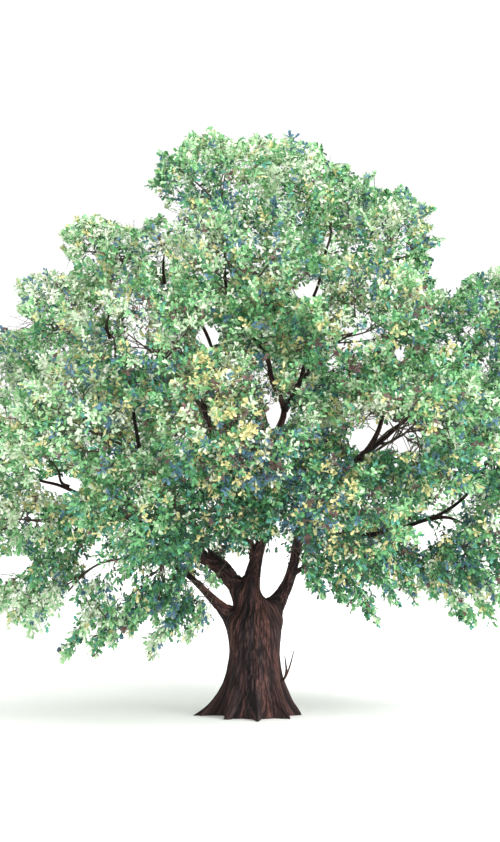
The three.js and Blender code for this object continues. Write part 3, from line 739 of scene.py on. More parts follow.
def tubes(lines, radii, sides, pointed=False):
    """Closed tubes along many lines of the same number of points, as arrays."""
    lines = np.asarray(lines, float)
    radii = np.asarray(radii, float)
    count, rings = lines.shape[:2]
    along = np.empty_like(lines)
    along[:, 1:-1] = lines[:, 2:] - lines[:, :-2]
    along[:, 0] = lines[:, 1] - lines[:, 0]
    along[:, -1] = lines[:, -1] - lines[:, -2]
    along = unit(along)
    overall = unit(lines[:, -1] - lines[:, 0])
    side = unit(np.cross(along, helper_for(overall)[:, None]))
    over = np.cross(along, side)
    turn = np.arange(sides) * 2 * np.pi / sides
    ring = side[:, :, None] * np.cos(turn)[:, None] + over[:, :, None] * np.sin(turn)[:, None]
    points = lines[:, :, None] + ring * radii[:, :, None, None]
    if pointed:
        return cones(points, lines[:, -1])
    base = (np.arange(count) * rings * sides)[:, None, None]
    r = (np.arange(rings - 1) * sides)[None, :, None]
    s = np.arange(sides)[None, None, :]
    n = (s + 1) % sides
    a, b, c, d = base + r + s, base + r + n, base + r + sides + n, base + r + sides + s
    skin = np.stack([np.stack([a, b, c], -1), np.stack([a, c, d], -1)], -2).reshape(-1, 3)
    fan = np.array([(0, k + 1, k) for k in range(1, sides - 1)])
    foot = base + fan
    tip = base + (rings - 1) * sides + fan[:, ::-1]
    return points.reshape(-1, 3), np.vstack([skin, foot.reshape(-1, 3), tip.reshape(-1, 3)])


def cones(rings, tips):
    """Closed tubes through rings of points that end in one point each, in place of their last ring."""
    count, turns, sides = rings.shape[:3]
    points = np.concatenate([rings[:, :-1].reshape(count, -1, 3), tips[:, None]], axis=1)
    size = (turns - 1) * sides + 1
    base = (np.arange(count) * size)[:, None, None]
    s = np.arange(sides)
    n = (s + 1) % sides
    # Rows of triangles between the rings, those up to the tip, and the cap over the foot.
    rows = [r * sides for r in range(turns - 2)]
    one = [np.stack([s + r, n + r, n + r + sides], -1) for r in rows]
    one += [np.stack([s + r, n + r + sides, s + r + sides], -1) for r in rows]
    one.append(np.stack([s + (turns - 2) * sides, n + (turns - 2) * sides, s * 0 + size - 1], -1))
    one.append(np.array([(0, k + 1, k) for k in range(1, sides - 1)]))
    return points.reshape(-1, 3), (base + np.vstack(one)).reshape(-1, 3)


# Smooth random relief.


def hashed(cells, seed):
    """A scattered value from 0 to 1 for each whole-numbered cell."""
    n = seed * HASH_SEED
    for k, prime in enumerate(HASH_PRIMES):
        n = n ^ (cells[..., k] * prime)
    n = (n ^ (n >> 13)) * HASH_MIX
    return ((n ^ (n >> 16)) & HASH_BITS) / HASH_BITS


def relief(points, size, start, seed):
    """Smooth random values from 0 to 1 at points: swells of a size, in a pattern set by start and seed."""
    points = points / size + start
    cell = np.floor(points).astype(np.int64)
    w = points - cell
    w = w * w * (3 - 2 * w)
    total = np.zeros(len(points))
    for corner in range(8):
        step = np.array([corner & 1, corner >> 1 & 1, corner >> 2 & 1])
        share = np.where(step, w, 1 - w).prod(axis=1)
        total += share * hashed(cell + step, seed)
    return total


# Materials.


def shader(name, roughness, shine=0.5):
    material = bpy.data.materials.new(name)
    material.use_nodes = True
    nodes = material.node_tree.nodes
    skin = nodes["Principled BSDF"]
    skin.inputs["Roughness"].default_value = roughness
    skin.inputs["Specular IOR Level"].default_value = shine
    return material, nodes, skin


def noise(nodes, scale, detail=2, roughness=0.5):
    node = nodes.new("ShaderNodeTexNoise")
    node.inputs["Scale"].default_value = scale
    node.inputs["Detail"].default_value = detail
    node.inputs["Roughness"].default_value = roughness
    return node


def ramp(nodes, low, dark, high, light):
    node = nodes.new("ShaderNodeValToRGB")
    for element, position, colour in zip(node.color_ramp.elements, (low, high), (dark, light)):
        element.position = position
        element.color = colour
    return node


def mix(nodes):
    node = nodes.new("ShaderNodeMix")
    node.data_type = "RGBA"
    return node


def attribute(nodes, name):
    node = nodes.new("ShaderNodeAttribute")
    node.attribute_name = name
    return node


def join(material, *links):
    for start, output, end, entry in links:
        material.node_tree.links.new(start.outputs[output], end.inputs[entry])


def srgb(*colour):
    """A colour given from 0 to 255, as the linear values that a shader takes."""
    linear = [((c / 255 + 0.055) / 1.055) ** 2.4 if c > 10.31 else c / 255 / 12.92 for c in colour]
    return (*linear, 1)


def mottled(name, light, dark, scale, roughness, shine=0.5, low=0, high=1):
    """A matt colour that varies from place to place between two near shades."""
    material, nodes, skin = shader(name, roughness, shine)
    place = nodes.new("ShaderNodeTexCoord")
    patches = noise(nodes, scale)
    shade = ramp(nodes, low, srgb(*dark), high, srgb(*light))
    join(
        material,
        (place, "Object", patches, "Vector"),
        (patches, "Fac", shade, "Fac"),
        (shade, "Color", skin, "Base Color"),
    )
    return material


def bark_material():
    """Furrowed bark: dark in the furrows, partly its own colour and partly painted shade, brown to reddish
    on the ridges, with cracks along the grain.
    """
    material, nodes, skin = shader("oak_bark", roughness=0.85, shine=0.2)
    ridge = attribute(nodes, "ridge")
    grain_place = attribute(nodes, "grain")
    patches = noise(nodes, scale=4, detail=3)
    streaks = noise(nodes, scale=24, detail=6, roughness=0.65)
    hue = ramp(nodes, low=0.4, dark=srgb(66, 56, 59), high=0.62, light=srgb(116, 81, 75))
    contrast = ramp(nodes, low=0.4, dark=(0.12, 0.12, 0.12, 1), high=0.6, light=(1, 1, 1, 1))
    grain = mix(nodes)
    grain.blend_type = "MULTIPLY"
    grain.inputs["Factor"].default_value = 0.95
    # Dark in the furrows by the ridge height: partly the bark's own colour, partly painted shade.
    depth = mix(nodes)
    depth.inputs["A"].default_value = srgb(30, 25, 27)
    bump = nodes.new("ShaderNodeBump")
    bump.inputs["Strength"].default_value = 0.8
    bump.inputs["Distance"].default_value = 0.02
    join(
        material,
        (grain_place, "Vector", patches, "Vector"),
        (grain_place, "Vector", streaks, "Vector"),
        (patches, "Fac", hue, "Fac"),
        (streaks, "Fac", contrast, "Fac"),
        (hue, "Color", grain, "A"),
        (contrast, "Color", grain, "B"),
        (grain, "Result", depth, "B"),
        (ridge, "Fac", depth, "Factor"),
        (depth, "Result", skin, "Base Color"),
        (streaks, "Fac", bump, "Height"),
        (bump, "Normal", skin, "Normal"),
    )
    return material


bark = bark_material()
twig_bark = mottled("twig_bark", (110, 92, 82), (66, 58, 55), scale=6, roughness=0.8)
shoot_bark = mottled("green_shoot", (122, 148, 98), (84, 108, 72), scale=6, roughness=0.8)
wood_nodes = ["trunk", "base_shoot"] + ["bough_" + limb.name for limb in limbs]
leaf_nodes = ["leaves_" + limb.name for limb in limbs]

# The trunk and the thick limbs, as one form.


def trunk_radius(bearing, height):
    x, y = np.cos(bearing), np.sin(bearing)
    fork_edge = 1 / np.hypot(x / FORK_RADIUS[0], y / FORK_RADIUS[1])
    to_fork = smoothstep(height, WAIST_HEIGHT, FORK_HEIGHT)
    radius = WAIST_RADIUS + (fork_edge - WAIST_RADIUS) * to_fork
    radius += (CROTCH_RADIUS - radius) * smoothstep(height, FORK_HEIGHT, TRUNK_HEIGHT)
    spread = np.maximum(0, 1 - height / FLARE_HEIGHT)
    radius += (FLARE_RADIUS - WAIST_RADIUS) * spread**2
    for root_bearing, reach in ROOTS:
        away = (np.degrees(bearing) - root_bearing) % 360
        away = np.minimum(away, 360 - away)
        ridge = np.exp(-((np.radians(away) / ROOT_RIDGE / (1 - TOE_TAPER * spread**2)) ** 2))
        radius += (reach - FLARE_RADIUS) * ridge * spread**3
        # Each root's ridge carries on up the trunk as a low rib.
        radius += RIB * (ridge - RIB_SINK) * np.exp(-height / RIB_HEIGHT)
    return radius


def select_only(*objects):
    bpy.ops.object.select_all(action="DESELECT")
    for one in objects:
        one.select_set(True)
    bpy.context.view_layer.objects.active = objects[0]


def points_of(mesh, fact="co"):
    values = np.empty(len(mesh.vertices) * 3)
    mesh.vertices.foreach_get(fact, values)
    return values.reshape(-1, 3)


def move_points(mesh, points):
    mesh.vertices.foreach_set("co", points.ravel())
    mesh.update()


def trunk_form():
    """A ball drawn out into the trunk: its lower rings cover the cut, its upper ones close the fork."""
    bpy.ops.mesh.primitive_uv_sphere_add(segments=TRUNK_SIDES, ring_count=TRUNK_RINGS, radius=1)
    ball = bpy.context.object
    points = points_of(ball.data)
    share = 1 - np.arccos(np.clip(points[:, 2], -1, 1)) / np.pi
    bearing = np.arctan2(points[:, 1], points[:, 0])
    climb = np.clip((share - CUT_SHARE) / (CLOSING_SHARE - CUT_SHARE), 0, 1)
    height = (TRUNK_HEIGHT - CROTCH_DOME) * climb**CLIMB_POWER
    radius = trunk_radius(bearing, height)
    radius *= np.where(share < CUT_SHARE, share / CUT_SHARE, 1)
    closing = np.clip((share - CLOSING_SHARE) / (1 - CLOSING_SHARE), 0, 1)
    radius *= np.sqrt(1 - closing**2)
    height += CROTCH_DOME * closing
    height = np.where(share <= CUT_SHARE, -GROUND_DEPTH, height)
    move_points(ball.data, np.stack([radius * np.cos(bearing), radius * np.sin(bearing), height], axis=1))
    return ball


def limb_form(points, radii, name):
    """A round rod through points, with its own radius at each."""
    curve = bpy.data.curves.new(name, "CURVE")
    curve.dimensions = "3D"
    curve.bevel_depth = 1
    curve.bevel_resolution = 4
    curve.use_fill_caps = True
    spline = curve.splines.new("POLY")
    spline.points.add(len(points) - 1)
    for point, place, radius in zip(spline.points, points, radii):
        point.co = (*place, 1)
        point.radius = radius
    rod = bpy.data.objects.new(name, curve)
    bpy.context.collection.objects.link(rod)
    return rod


def soften(piece, rounds):
    """Draw a piece's points half way to the middle of their neighbours, over and over."""
    mesh = piece.data
    co = points_of(mesh)
    ends = np.empty(len(mesh.edges) * 2, np.int32)
    mesh.edges.foreach_get("vertices", ends)
    a, b = ends.reshape(-1, 2).T
    count = np.bincount(ends, minlength=len(co))[:, None]
    for _ in range(rounds):
        sums = [np.bincount(a, co[b, k], len(co)) + np.bincount(b, co[a, k], len(co)) for k in range(3)]
        co = (co + np.stack(sums, axis=1) / count) / 2
    move_points(mesh, co)


def off_trunk(points):
    """Roughly how far points are from the trunk's surface, below 0 inside it."""
    bearing = np.arctan2(points[:, 1], points[:, 0])
    aside = np.hypot(points[:, 0], points[:, 1])
    aside = aside - trunk_radius(bearing, np.clip(points[:, 2], 0, TRUNK_HEIGHT))
    over = points[:, 2] - TRUNK_HEIGHT
    return np.hypot(np.maximum(aside, 0), np.maximum(over, 0)) + np.minimum(0, np.maximum(aside, over))


def fill_fork(piece):
    """Round out the hollows where the limbs part, by a smooth blend of the distances to trunk and limbs."""
    mesh = piece.data
    co = points_of(mesh)
    from_fork = np.linalg.norm(co - FORK_MIDDLE, axis=1)
    near = np.flatnonzero(from_fork < FORK_REACH)
    fade = 1 - smoothstep(from_fork[near], FULL_FILL * FORK_REACH, FORK_REACH)
    for _ in range(FILL_ROUNDS):
        place = co[near]
        nearness = np.exp(-off_trunk(place) / BLEND)
        for limb in limbs:
            shares = np.arange(0, limb.entry, AXIS_STEP / limb.line.length)
            line = limb.line.at(shares)
            close = np.linalg.norm(line - FORK_MIDDLE, axis=1) < FORK_REACH + FILL_BEYOND
            if limb.swap > 0 and close.any():
                far = np.linalg.norm(place[:, None] - line[close], axis=2) - limb.radius(shares)[close]
                nearness += np.exp(-far.min(axis=1) / BLEND)
        push = np.clip(BLEND * np.log(nearness), 0, LONGEST_PUSH) * fade * PUSH_SHARE
        co[near] += points_of(mesh, "normal")[near] * push[:, None]
        move_points(mesh, co)


def wood_facts(line, start, end, radius_at, key, step, least=3):
    """Points along the middle of the wood, and what lays the bark's grain there.

    That is the way the wood runs, its radius, the distance run and a number of the limb's own.
    """
    shares = np.linspace(start, end, max(least, int(line.length * (end - start) / step)))
    at = line.at(shares)
    way = unit(np.gradient(at, axis=0))
    return at, way, radius_at(shares), shares * line.length, np.full(len(shares), key, float)


forms = [trunk_form()]
axis = [wood_facts(trunk_line, 0, 1, lambda share: share * 0 + WAIST_RADIUS, 0, AXIS_STEP)]
for limb in limbs:
    shares = np.linspace(0, limb.entry, SWAP_STEPS)
    slim = shares[limb.radius(shares) < MAIN_LIMB]
    limb.swap = slim[0] if len(slim) else limb.entry
    # A bough that is thick only at its foot is a thin one all along.
    if limb.parent != "trunk" and limb.swap * limb.line.length < SHORTEST_THICK:
        limb.swap = 0
    if limb.swap > 0:
        end = min(limb.entry, limb.swap + FORM_STEP / limb.line.length)
        places = np.linspace(0, end, max(4, int(limb.line.length * end / FORM_STEP)))
        forms.append(limb_form(limb.line.at(places), limb.radius(places), "rod_" + limb.name))
        axis.append(wood_facts(limb.line, 0, end, limb.radius, limb.seed, AXIS_STEP))
axis = gathered(axis)
axis_at, axis_radius = axis[0], axis[2]

select_only(*forms)
bpy.ops.object.convert(target="MESH")
bpy.ops.object.join()
trunk = bpy.context.object
trunk.data.remesh_voxel_size = VOXEL
trunk.data.use_remesh_preserve_volume = True
bpy.ops.object.voxel_remesh()
# The limbs' feet run smoothly into the trunk.
soften(trunk, SOFTENING)
fill_fork(trunk)
soften(trunk, SOFTENING)

# The bark's relief.


def grain(points, at, way, radius, run):
    """Where points fall in the bark's own frame: round the limb and along it."""
    off = points - at
    step = (off * way).sum(axis=1)
    off = off - way * step[:, None]
    away = np.linalg.norm(off, axis=1)
    round_it = off / np.maximum(away, 1e-6)[:, None] * radius[:, None]
    along = run + step + np.maximum(0, away - radius)
    return round_it, along


def bark_relief(points, at, way, radius, run, key):
    """Height of the bark from 0 in a furrow to 1 on a ridge, and where each point falls along the grain."""
    round_it, along = grain(points, at, way, radius, run)
    across = (FURROW + FURROW_MORE * np.minimum(radius / WAIST_RADIUS, 1))[:, None]
    total = np.zeros(len(points))
    # Each limb's own number sets its bark apart from that of the others.
    for size, weight, seed in FURROWS:
        shift = key * KEY_ALONG + along * FURROW_DRIFT
        place = round_it + np.stack([key * KEY_ROUND, along / FURROW_STRETCH, shift], axis=1)
        wave = relief(place, across * size, FURROW_START, seed)
        total += weight * smoothstep(np.abs(2 * wave - 1), *FURROW_SIDES)
    cracks = np.stack([key * KEY_ROUND, along / CRACK_STRETCH, along * CRACK_DRIFT], axis=1)
    return total, round_it + cracks


def raise_bark(piece, at, way, radius, run, key):
    """Shape a piece's bark in furrows and gnarls, and store what its material reads."""
    mesh = piece.data
    co = points_of(mesh)
    height, place = bark_relief(co, at, way, radius, run, key)
    depth = np.minimum(FURROW_DEPTH, FURROW_SHARE * radius)
    gnarl = relief(co * GNARLS, *GNARL_PATTERN) - 0.5
    gnarl *= np.minimum(GNARL_DEPTH, GNARL_SHARE * radius)
    co = co + points_of(mesh, "normal") * ((height - RIDGE_LEVEL) * depth + gnarl)[:, None]
    co[:, 2] = np.maximum(co[:, 2], 0)
    ridge = mesh.attributes.new("ridge", "FLOAT", "POINT")
    ridge.data.foreach_set("value", height.astype(np.float32))
    grain_place = mesh.attributes.new("grain", "FLOAT_VECTOR", "POINT")
    grain_place.data.foreach_set("vector", place.astype(np.float32).ravel())
    mesh.polygons.foreach_set("use_smooth", np.ones(len(mesh.polygons), bool))
    move_points(mesh, co)


def nearest_axis(points):
    return (np.linalg.norm(points[:, None] - axis_at, axis=2) / axis_radius).argmin(axis=1)


# The trunk is cut off level with the ground.
select_only(trunk)
bpy.ops.object.mode_set(mode="EDIT")
bpy.ops.mesh.select_all(action="SELECT")
bpy.ops.mesh.bisect(plane_co=(0, 0, 0), plane_no=(0, 0, 1), use_fill=True, clear_inner=True)
bpy.ops.object.mode_set(mode="OBJECT")
nearest = in_chunks(nearest_axis, points_of(trunk.data))
raise_bark(trunk, *(facts[nearest] for facts in axis))
select_only(trunk)
bpy.ops.object.modifier_add(type="TRIANGULATE")
bpy.ops.object.modifier_apply(modifier=trunk.modifiers[-1].name)
print("trunk", len(trunk.data.polygons))
trunk.name = "trunk_and_main_boughs"
hand_over(trunk, bark, wood_nodes)

# The thinner limbs, as rods with the same relief.
rods, rod_facts = [], []


def add_rod(line, start, end, radius_at, sides, key, step=ROD_STEP):
    facts = wood_facts(line, start, end, radius_at, key, step, least=4)
    rods.append(tubes([facts[0]], [facts[2]], sides))
    rod_facts.append([np.repeat(fact, sides, axis=0) for fact in facts])


for limb in limbs:
    start = max(0, limb.swap - ROD_LAP / limb.line.length) if limb.swap else 0
    if start < limb.entry - SHORTEST_ROD:
        add_rod(limb.line, start, limb.entry, limb.radius, ROD_SIDES, limb.seed)
for routes, foot, tip, sides, key, step in BARE_SHOOTS:
    for i, route in enumerate(routes):
        add_rod(Line(route), 0, 1, lambda share: foot + (tip - foot) * share, sides, key + i, step)
thin_boughs = mesh_piece("boughs_and_shoot", rods, bark, wood_nodes)
raise_bark(thin_boughs, *gathered(rod_facts))


# Foliage.


def even_directions(count, turn):
    i = np.arange(count)
    height = 1 - (2 * i + 1) / count
    around = i * math.pi * (3 - math.sqrt(5)) + turn
    flat = np.sqrt(1 - height**2)
    return np.stack([flat * np.cos(around), flat * np.sin(around), height], axis=1)


def fits(limb, points):
    return inside(limb, points) & ~in_opening(points, LANES) & ~touches_wood(points)


def free_runs(limb, directions):
    """How far one can go from the mass's middle each way."""
    steps = np.arange(1, RUN_STEPS) * RUN_STEP
    points = limb.middle + directions[:, None] * steps[:, None]
    open_way = fits(limb, points.reshape(-1, 3)).reshape(len(directions), -1)
    return np.where(open_way.all(axis=1), len(steps), open_way.argmin(axis=1)) * RUN_STEP


def main_branches(limb, stem):
    """The mass's branches, as in its solid."""
    chance = Chance(limb.seed + BRANCH_SEED)
    lean = np.array([0, 0, -BRANCH_WEEP * limb.hang if limb.hang > 0 else BRANCH_RISE])
    ways = unit(even_directions(WAYS_TRIED, limb.seed) + lean)
    runs = free_runs(limb, ways)
    chosen = []
    for i in np.argsort(-runs, kind="stable"):
        apart = all(ways[i] @ ways[j] < math.cos(math.radians(BRANCH_SPACING)) for j in chosen)
        if len(chosen) < BRANCHES and apart:
            chosen.append(i)
    lines = []
    for k, i in enumerate(chosen):
        root = stem.one(FIRST_ROOT + ROOTS_OVER * (k + ROOT_STAGGER * chance.next()) / BRANCHES)
        bend = chance.jitter(BRANCH_BEND)
        length = max(runs[i] * BRANCH_SHARE, BRANCH_SHORTEST)
        while length >= BRANCH_SHORTEST:
            end = limb.middle + ways[i] * length
            line = Line([root, (root + end) / 2 + bend, end])
            if fits(limb, line.at(BRANCH_TESTED)).all():
                lines.append(line)
                break
            length -= BRANCH_CUT
    return lines


front_wood = wood_at[np.abs(wood_at[:, 1]) < FRONT_WOOD_DEPTH]
front_wood = seen_at(front_wood[front_wood[:, 2] > FRONT_WOOD_LOW])


def hides_limb(points):
    """Whether points stand before a limb, away from the stretches of limb that show."""

    def beside(some):
        return np.linalg.norm(some[:, None] - front_wood, axis=2).min(axis=1) < HIDING_WIDTH

    seen = seen_at(points)
    return in_chunks(beside, seen) & (points[:, 1] < HIDING_DEPTH) & ~along_showing(seen, SHOWING_EDGE)


def backs_limb(points):
    """Whether points stand close behind a stretch of limb that shows."""
    behind = (points[:, 1] > BACKING[0]) & (points[:, 1] < BACKING[1]) & (points[:, 2] > SKIRT_TOP)
    return behind & along_showing(seen_at(points), BACKED)


def streamers(limb, rng):
    """Feet, sizes and ways of sprays along shoots that reach the mass's tips, smaller towards each tip."""
    feet, sizes, ways = [np.empty((0, 3))], [np.empty(0)], [np.empty((0, 3))]
    for tip in TIPS.get(limb.name, []):
        for depth in STREAMER_DEPTHS:
            end = limb.middle + [0, depth * limb.half[1], 0]
            end[[0, 2]] = LOOKOUT[[0, 2]] + (np.array(tip) - LOOKOUT[[0, 2]]) * (1 - end[1] / LOOKOUT[1])
            if limb.hang > WEEPING and tip[1] < limb.middle[2] - STRAND_BELOW:
                root = end + STRAND_DROP * np.array([-STRAND_LEAN * np.sign(tip[0]), 0, 1])
            else:
                root = limb.middle + (end - limb.middle) * [STREAMER_START, 1, STREAMER_START]
            root += rng.uniform(-ROOT_JITTER, ROOT_JITTER, 3)
            end += rng.uniform(-END_JITTER, END_JITTER, 3) - [0, 0, END_DROP]
            long = np.linalg.norm(end - root)
            share = np.arange(0, 1 - STREAMER_SHORT / long, STREAMER_STEP / long)[:, None]
            scatter = rng.uniform(-FOOT_JITTER, FOOT_JITTER, (len(share), 3))
            feet.append(root + (end - root) * share + scatter)
            sizes.append(STREAMER_SIZE - STREAMER_THINNING * share[:, 0])
            ways.append(np.tile((end - root) / long, (len(share), 1)))
    feet, sizes, ways = np.vstack(feet), np.concatenate(sizes), np.vstack(ways)
    keep = ~touches_wood(feet, STREAMER_MARGIN) & ~in_opening(feet, OPENINGS)
    return feet[keep], sizes[keep], ways[keep]


def spray_feet(limb, rng):
    """Where the mass's sprays spring.

    They stand all through it, in clumps with hollows between, and more thinly where they are hidden. Half
    way between them are places that are used only before a limb that has to be hidden.
    """
    cells = np.ceil((1 + BULGE) * limb.half / SPRAY_SPACING).astype(int)
    grid = np.stack(np.meshgrid(*[np.arange(-n, n + 1) for n in cells], indexing="ij"), -1).reshape(-1, 3)
    between = np.arange(2 * len(grid)) >= len(grid)
    grid = np.vstack([grid, grid + 0.5])
    scatter = rng.uniform(-GRID_JITTER, GRID_JITTER, grid.shape)
    points = limb.middle + (grid + scatter) * SPRAY_SPACING
    off = (points - limb.middle) / limb.half
    out = np.linalg.norm(off, axis=1)
    # The gaps between the masses on the trunk's plane and those before and behind it are filled from both
    # sides.
    if abs(limb.middle[1]) > PLANE_DEPTH:
        towards = -(unit(off) * unit((limb.middle - CROWN_CORE) / limb.half)).sum(axis=1)
    else:
        towards = unit(off)[:, 1] ** 2 * (1 - limb.hang)
    limit = FOOT_SHARE + BULGE * towards.clip(0, 1)
    deep = np.linalg.norm((points - CROWN_MIDDLE) / CROWN_HALF, axis=1)
    hidden = (out < INNER_SHARE) | (deep < DEEP) | ((out > FOOT_SHARE) & (deep < BULGE_DEEP))
    keep = (out < limit) & (relief(points, *CLUMPS) > HOLLOW) & ~between
    keep &= ~hidden | (rng.uniform(0, 1, len(points)) < THINNED) | backs_limb(points)
    keep |= (out < limit) & hides_limb(points)
    # A weeping mass is full only in its upper part, and hangs in strands below.
    if limb.hang > WEEPING:
        keep &= off[:, 2] > WEEP_LEVEL * (limb.hang - 1) + rng.uniform(*WEEP_RAGGED, len(points))
    points = points[keep]
    keep = inside(limb, points, 1 + BULGE, 0) & ~touches_wood(points, SPRAY_MARGIN)
    return points[keep & ~in_opening(points, OPENINGS, OPEN_WIDER)]


feeder_lines, feeder_radii = [], []
main_lines, main_radii = [], []
masses = []
for limb in limbs:
    rng = np.random.default_rng(limb.seed)
    stem = limb.line.stretch(limb.entry - STEM_LAP / limb.line.length, 1, 3)
    tree = []
    for line, foot, tip in [(stem, LIMB_TIP, STEM_TIP)] + [
        (line, BRANCH_FOOT, BRANCH_TIP) for line in main_branches(limb, stem)
    ]:
        main_lines.append(line.at(np.linspace(0, 1, MAIN_RINGS)))
        main_radii.append(np.linspace(foot, tip, MAIN_RINGS))
        tree.append(line.at(np.linspace(TWIGS_FROM, 1, TWIG_PLACES)))
    tree = np.vstack(tree)
    owner = np.full(len(tree), -1)
    feet = spray_feet(limb, rng)
    far_feet, far_sizes, far_ways = streamers(limb, rng)
    sizes = np.append(np.ones(len(feet)), far_sizes)
    ways = np.vstack([feet * 0, far_ways])
    feet = np.vstack([feet, far_feet])
    # The nearest sprays grow first, and the further ones branch from their twigs.
    order = np.argsort(np.linalg.norm(feet[:, None] - tree, axis=2).min(axis=1))
    feet, sizes, ways = feet[order], sizes[order], ways[order]
    parents = []
    for i, foot in enumerate(feet):
        gaps = np.linalg.norm(tree - foot, axis=1)
        ahead = (foot - tree) @ unit(foot - limb.middle)
        k = np.argmin(gaps - FORWARD * ahead)
        root = tree[k]
        parents.append(owner[k])
        reach = np.linalg.norm(foot - root)
        bow = (root + foot) / 2 + (rng.normal(0, TWIG_BOW, 3) + np.array([0, 0, -TWIG_SAG])) * reach
        feeder_lines.append(np.array([root, bow, foot]))
        tree = np.vstack([tree, bow[None], foot[None]])
        owner = np.append(owner, [i, i])
    carried = np.ones(len(feet))
    for i in range(len(feet) - 1, -1, -1):
        if parents[i] >= 0:
            carried[parents[i]] += carried[i]
    thick = TWIG_RADIUS * carried**TWIG_GROWTH
    feeder_radii.extend(np.stack([thick, thick * 0.9, thick * 0.8], axis=1).clip(0, THICKEST_TWIG))
    masses.append((feet, np.full(len(feet), limb.seed - 1), sizes, ways))

spray_foot, spray_mass, spray_size, spray_lead = gathered(masses)
in_streamer = spray_size < 1
sprays = len(spray_foot)
print("sprays", sprays)

rng = np.random.default_rng(SPRAY_SEED)
hang = np.array([limb.hang for limb in limbs])[spray_mass][:, None]
mass_middle, mass_half = middles[spray_mass], halves[spray_mass]
from_middle = (spray_foot - mass_middle) / mass_half
outward = unit(from_middle / mass_half)
from_core = unit(spray_foot - CROWN_CORE)
foot_out = np.linalg.norm(from_middle, axis=1)

# Each spray grows outward from the crown; those of weeping masses hang.
spray_way = OUTWARD_PULL * outward + CORE_PUSH * from_core + rng.normal(0, WAY_SPREAD, (sprays, 3))
spray_way[:, 2:] += RISE * (1 - hang) - WEEP * hang
streaming = rng.normal(0, STREAMER_SPREAD, (in_streamer.sum(), 3))
spray_way[in_streamer] = STREAMER_PULL * spray_lead[in_streamer] + streaming
spray_way = unit(spray_way)
leading = rng.uniform(0, 1, sprays) < LEADERS
leading &= (outward * from_core).sum(axis=1) > LEADER_FACING
leading &= ~in_streamer
spray_long = rng.uniform(*SPRAY_LENGTHS, sprays) * np.where(leading, LEADER_LENGTH, 1) * spray_size
# A spray's tip stays near the border of its mass, and a leader's stands out from it.
border = np.where(leading, LEADER_REACH, rng.uniform(*BORDER, sprays))
for _ in range(SHORTENINGS):
    tip = spray_foot + spray_way * spray_long[:, None]
    out = np.linalg.norm((tip - mass_middle) / mass_half, axis=1)
    out = np.where(foot_out > FOOT_SHARE + FOOT_SPARE, 0, out)
    past = (out > border) & ~in_streamer | (tip < BOX_LOW).any(axis=1) | (tip > BOX_HIGH).any(axis=1)
    past |= past_outline(tip, TIP_SPARE)
    spray_long = np.where(past, spray_long * SHORTENED, spray_long)
curl = np.zeros((sprays, 3))
curl[:, 2] = rng.uniform(*CURLS, sprays) - CURL_WEEP * hang[:, 0]


def spray_line(t, which=slice(None)):
    """Points at shares t along the sprays' own curved shoots."""
    reach = spray_long[which][:, None, None]
    t = np.asarray(t)[..., None]
    return spray_foot[which][:, None] + (spray_way[which][:, None] * t + curl[which][:, None] * t**2) * reach


def around(direction, angle, turn):
    """Directions at an angle from the given ones, turned about them."""
    side = unit(np.cross(direction, helper_for(direction)))
    over = np.cross(direction, side)
    off = side * np.cos(turn)[..., None] + over * np.sin(turn)[..., None]
    return direction * np.cos(angle)[..., None] + off * np.sin(angle)[..., None]


shoot_t = rng.uniform(-SHOOT_JITTER, SHOOT_JITTER, (sprays, SIDE_SHOOTS))
shoot_t += np.linspace(*SHOOTS_OVER, SIDE_SHOOTS)
shoot_foot = spray_line(shoot_t)
turn = rng.uniform(0, FULL_TURN, (sprays, 1)) + np.arange(SIDE_SHOOTS) * NEXT_TURN
along = np.repeat(spray_way[:, None], SIDE_SHOOTS, axis=1)
shoot_way = around(along, rng.uniform(*SHOOT_ANGLES, turn.shape), turn)
shoot_way[..., 2] += SHOOT_RISE - SHOOT_WEEP * hang
shoot_way = unit(shoot_way)
shoot_long = spray_long[:, None] * (SHOOT_LONGEST - SHOOT_TAPER * shoot_t)
shoot_long *= rng.uniform(*SHOOT_LENGTHS, turn.shape)
shoot_reach = shoot_way * shoot_long[..., None]
shoot_tip = shoot_foot + shoot_reach

# Leaves stand round every shoot, and at its tip.
side_t = np.linspace(*SIDE_LEAVES_OVER, SIDE_LEAVES)
side_leaf_foot = shoot_foot[:, :, None] + shoot_reach[:, :, None] * side_t[:, None]
side_leaf_along = np.repeat(shoot_way[:, :, None], SIDE_LEAVES, axis=2)
main_t = np.append(np.linspace(*MAIN_LEAVES_OVER, MAIN_LEAVES - 2), MAIN_LEAVES_LAST)
main_t = main_t[None].repeat(sprays, axis=0)
main_leaf_foot = spray_line(main_t)
main_leaf_along = np.repeat(unit(spray_way + curl * CURL_BEND)[:, None], MAIN_LEAVES, axis=1)
side_count = SIDE_SHOOTS * SIDE_LEAVES
leaf_foot = np.concatenate([side_leaf_foot.reshape(sprays, side_count, 3), main_leaf_foot], axis=1)
leaf_along = np.concatenate([side_leaf_along.reshape(sprays, side_count, 3), main_leaf_along], axis=1)
per_spray = side_count + MAIN_LEAVES
leaf_angle = rng.uniform(*LEAF_ANGLES, (sprays, per_spray))
last = np.zeros(per_spray, bool)
last[SIDE_LEAVES - 1 : side_count : SIDE_LEAVES] = True
last[-1] = True
leaf_angle[:, last] *= TIP_LEAF_ANGLE
leaf_turn = rng.uniform(0, FULL_TURN, (sprays, 1)) + np.arange(per_spray) * NEXT_TURN
leaf_way = around(leaf_along, leaf_angle, leaf_turn)
leaf_way[..., 2] -= LEAF_DROOP + LEAF_WEEP * hang
shoot_of = np.append(np.repeat(np.arange(SIDE_SHOOTS), SIDE_LEAVES), np.full(MAIN_LEAVES, SIDE_SHOOTS))
leaf_shoot = (np.arange(sprays)[:, None] * (SIDE_SHOOTS + 1) + shoot_of).ravel()
leaf_foot = leaf_foot.reshape(-1, 3)
leaf_way = unit(leaf_way.reshape(-1, 3))
leaf_spray = np.repeat(np.arange(sprays), per_spray)
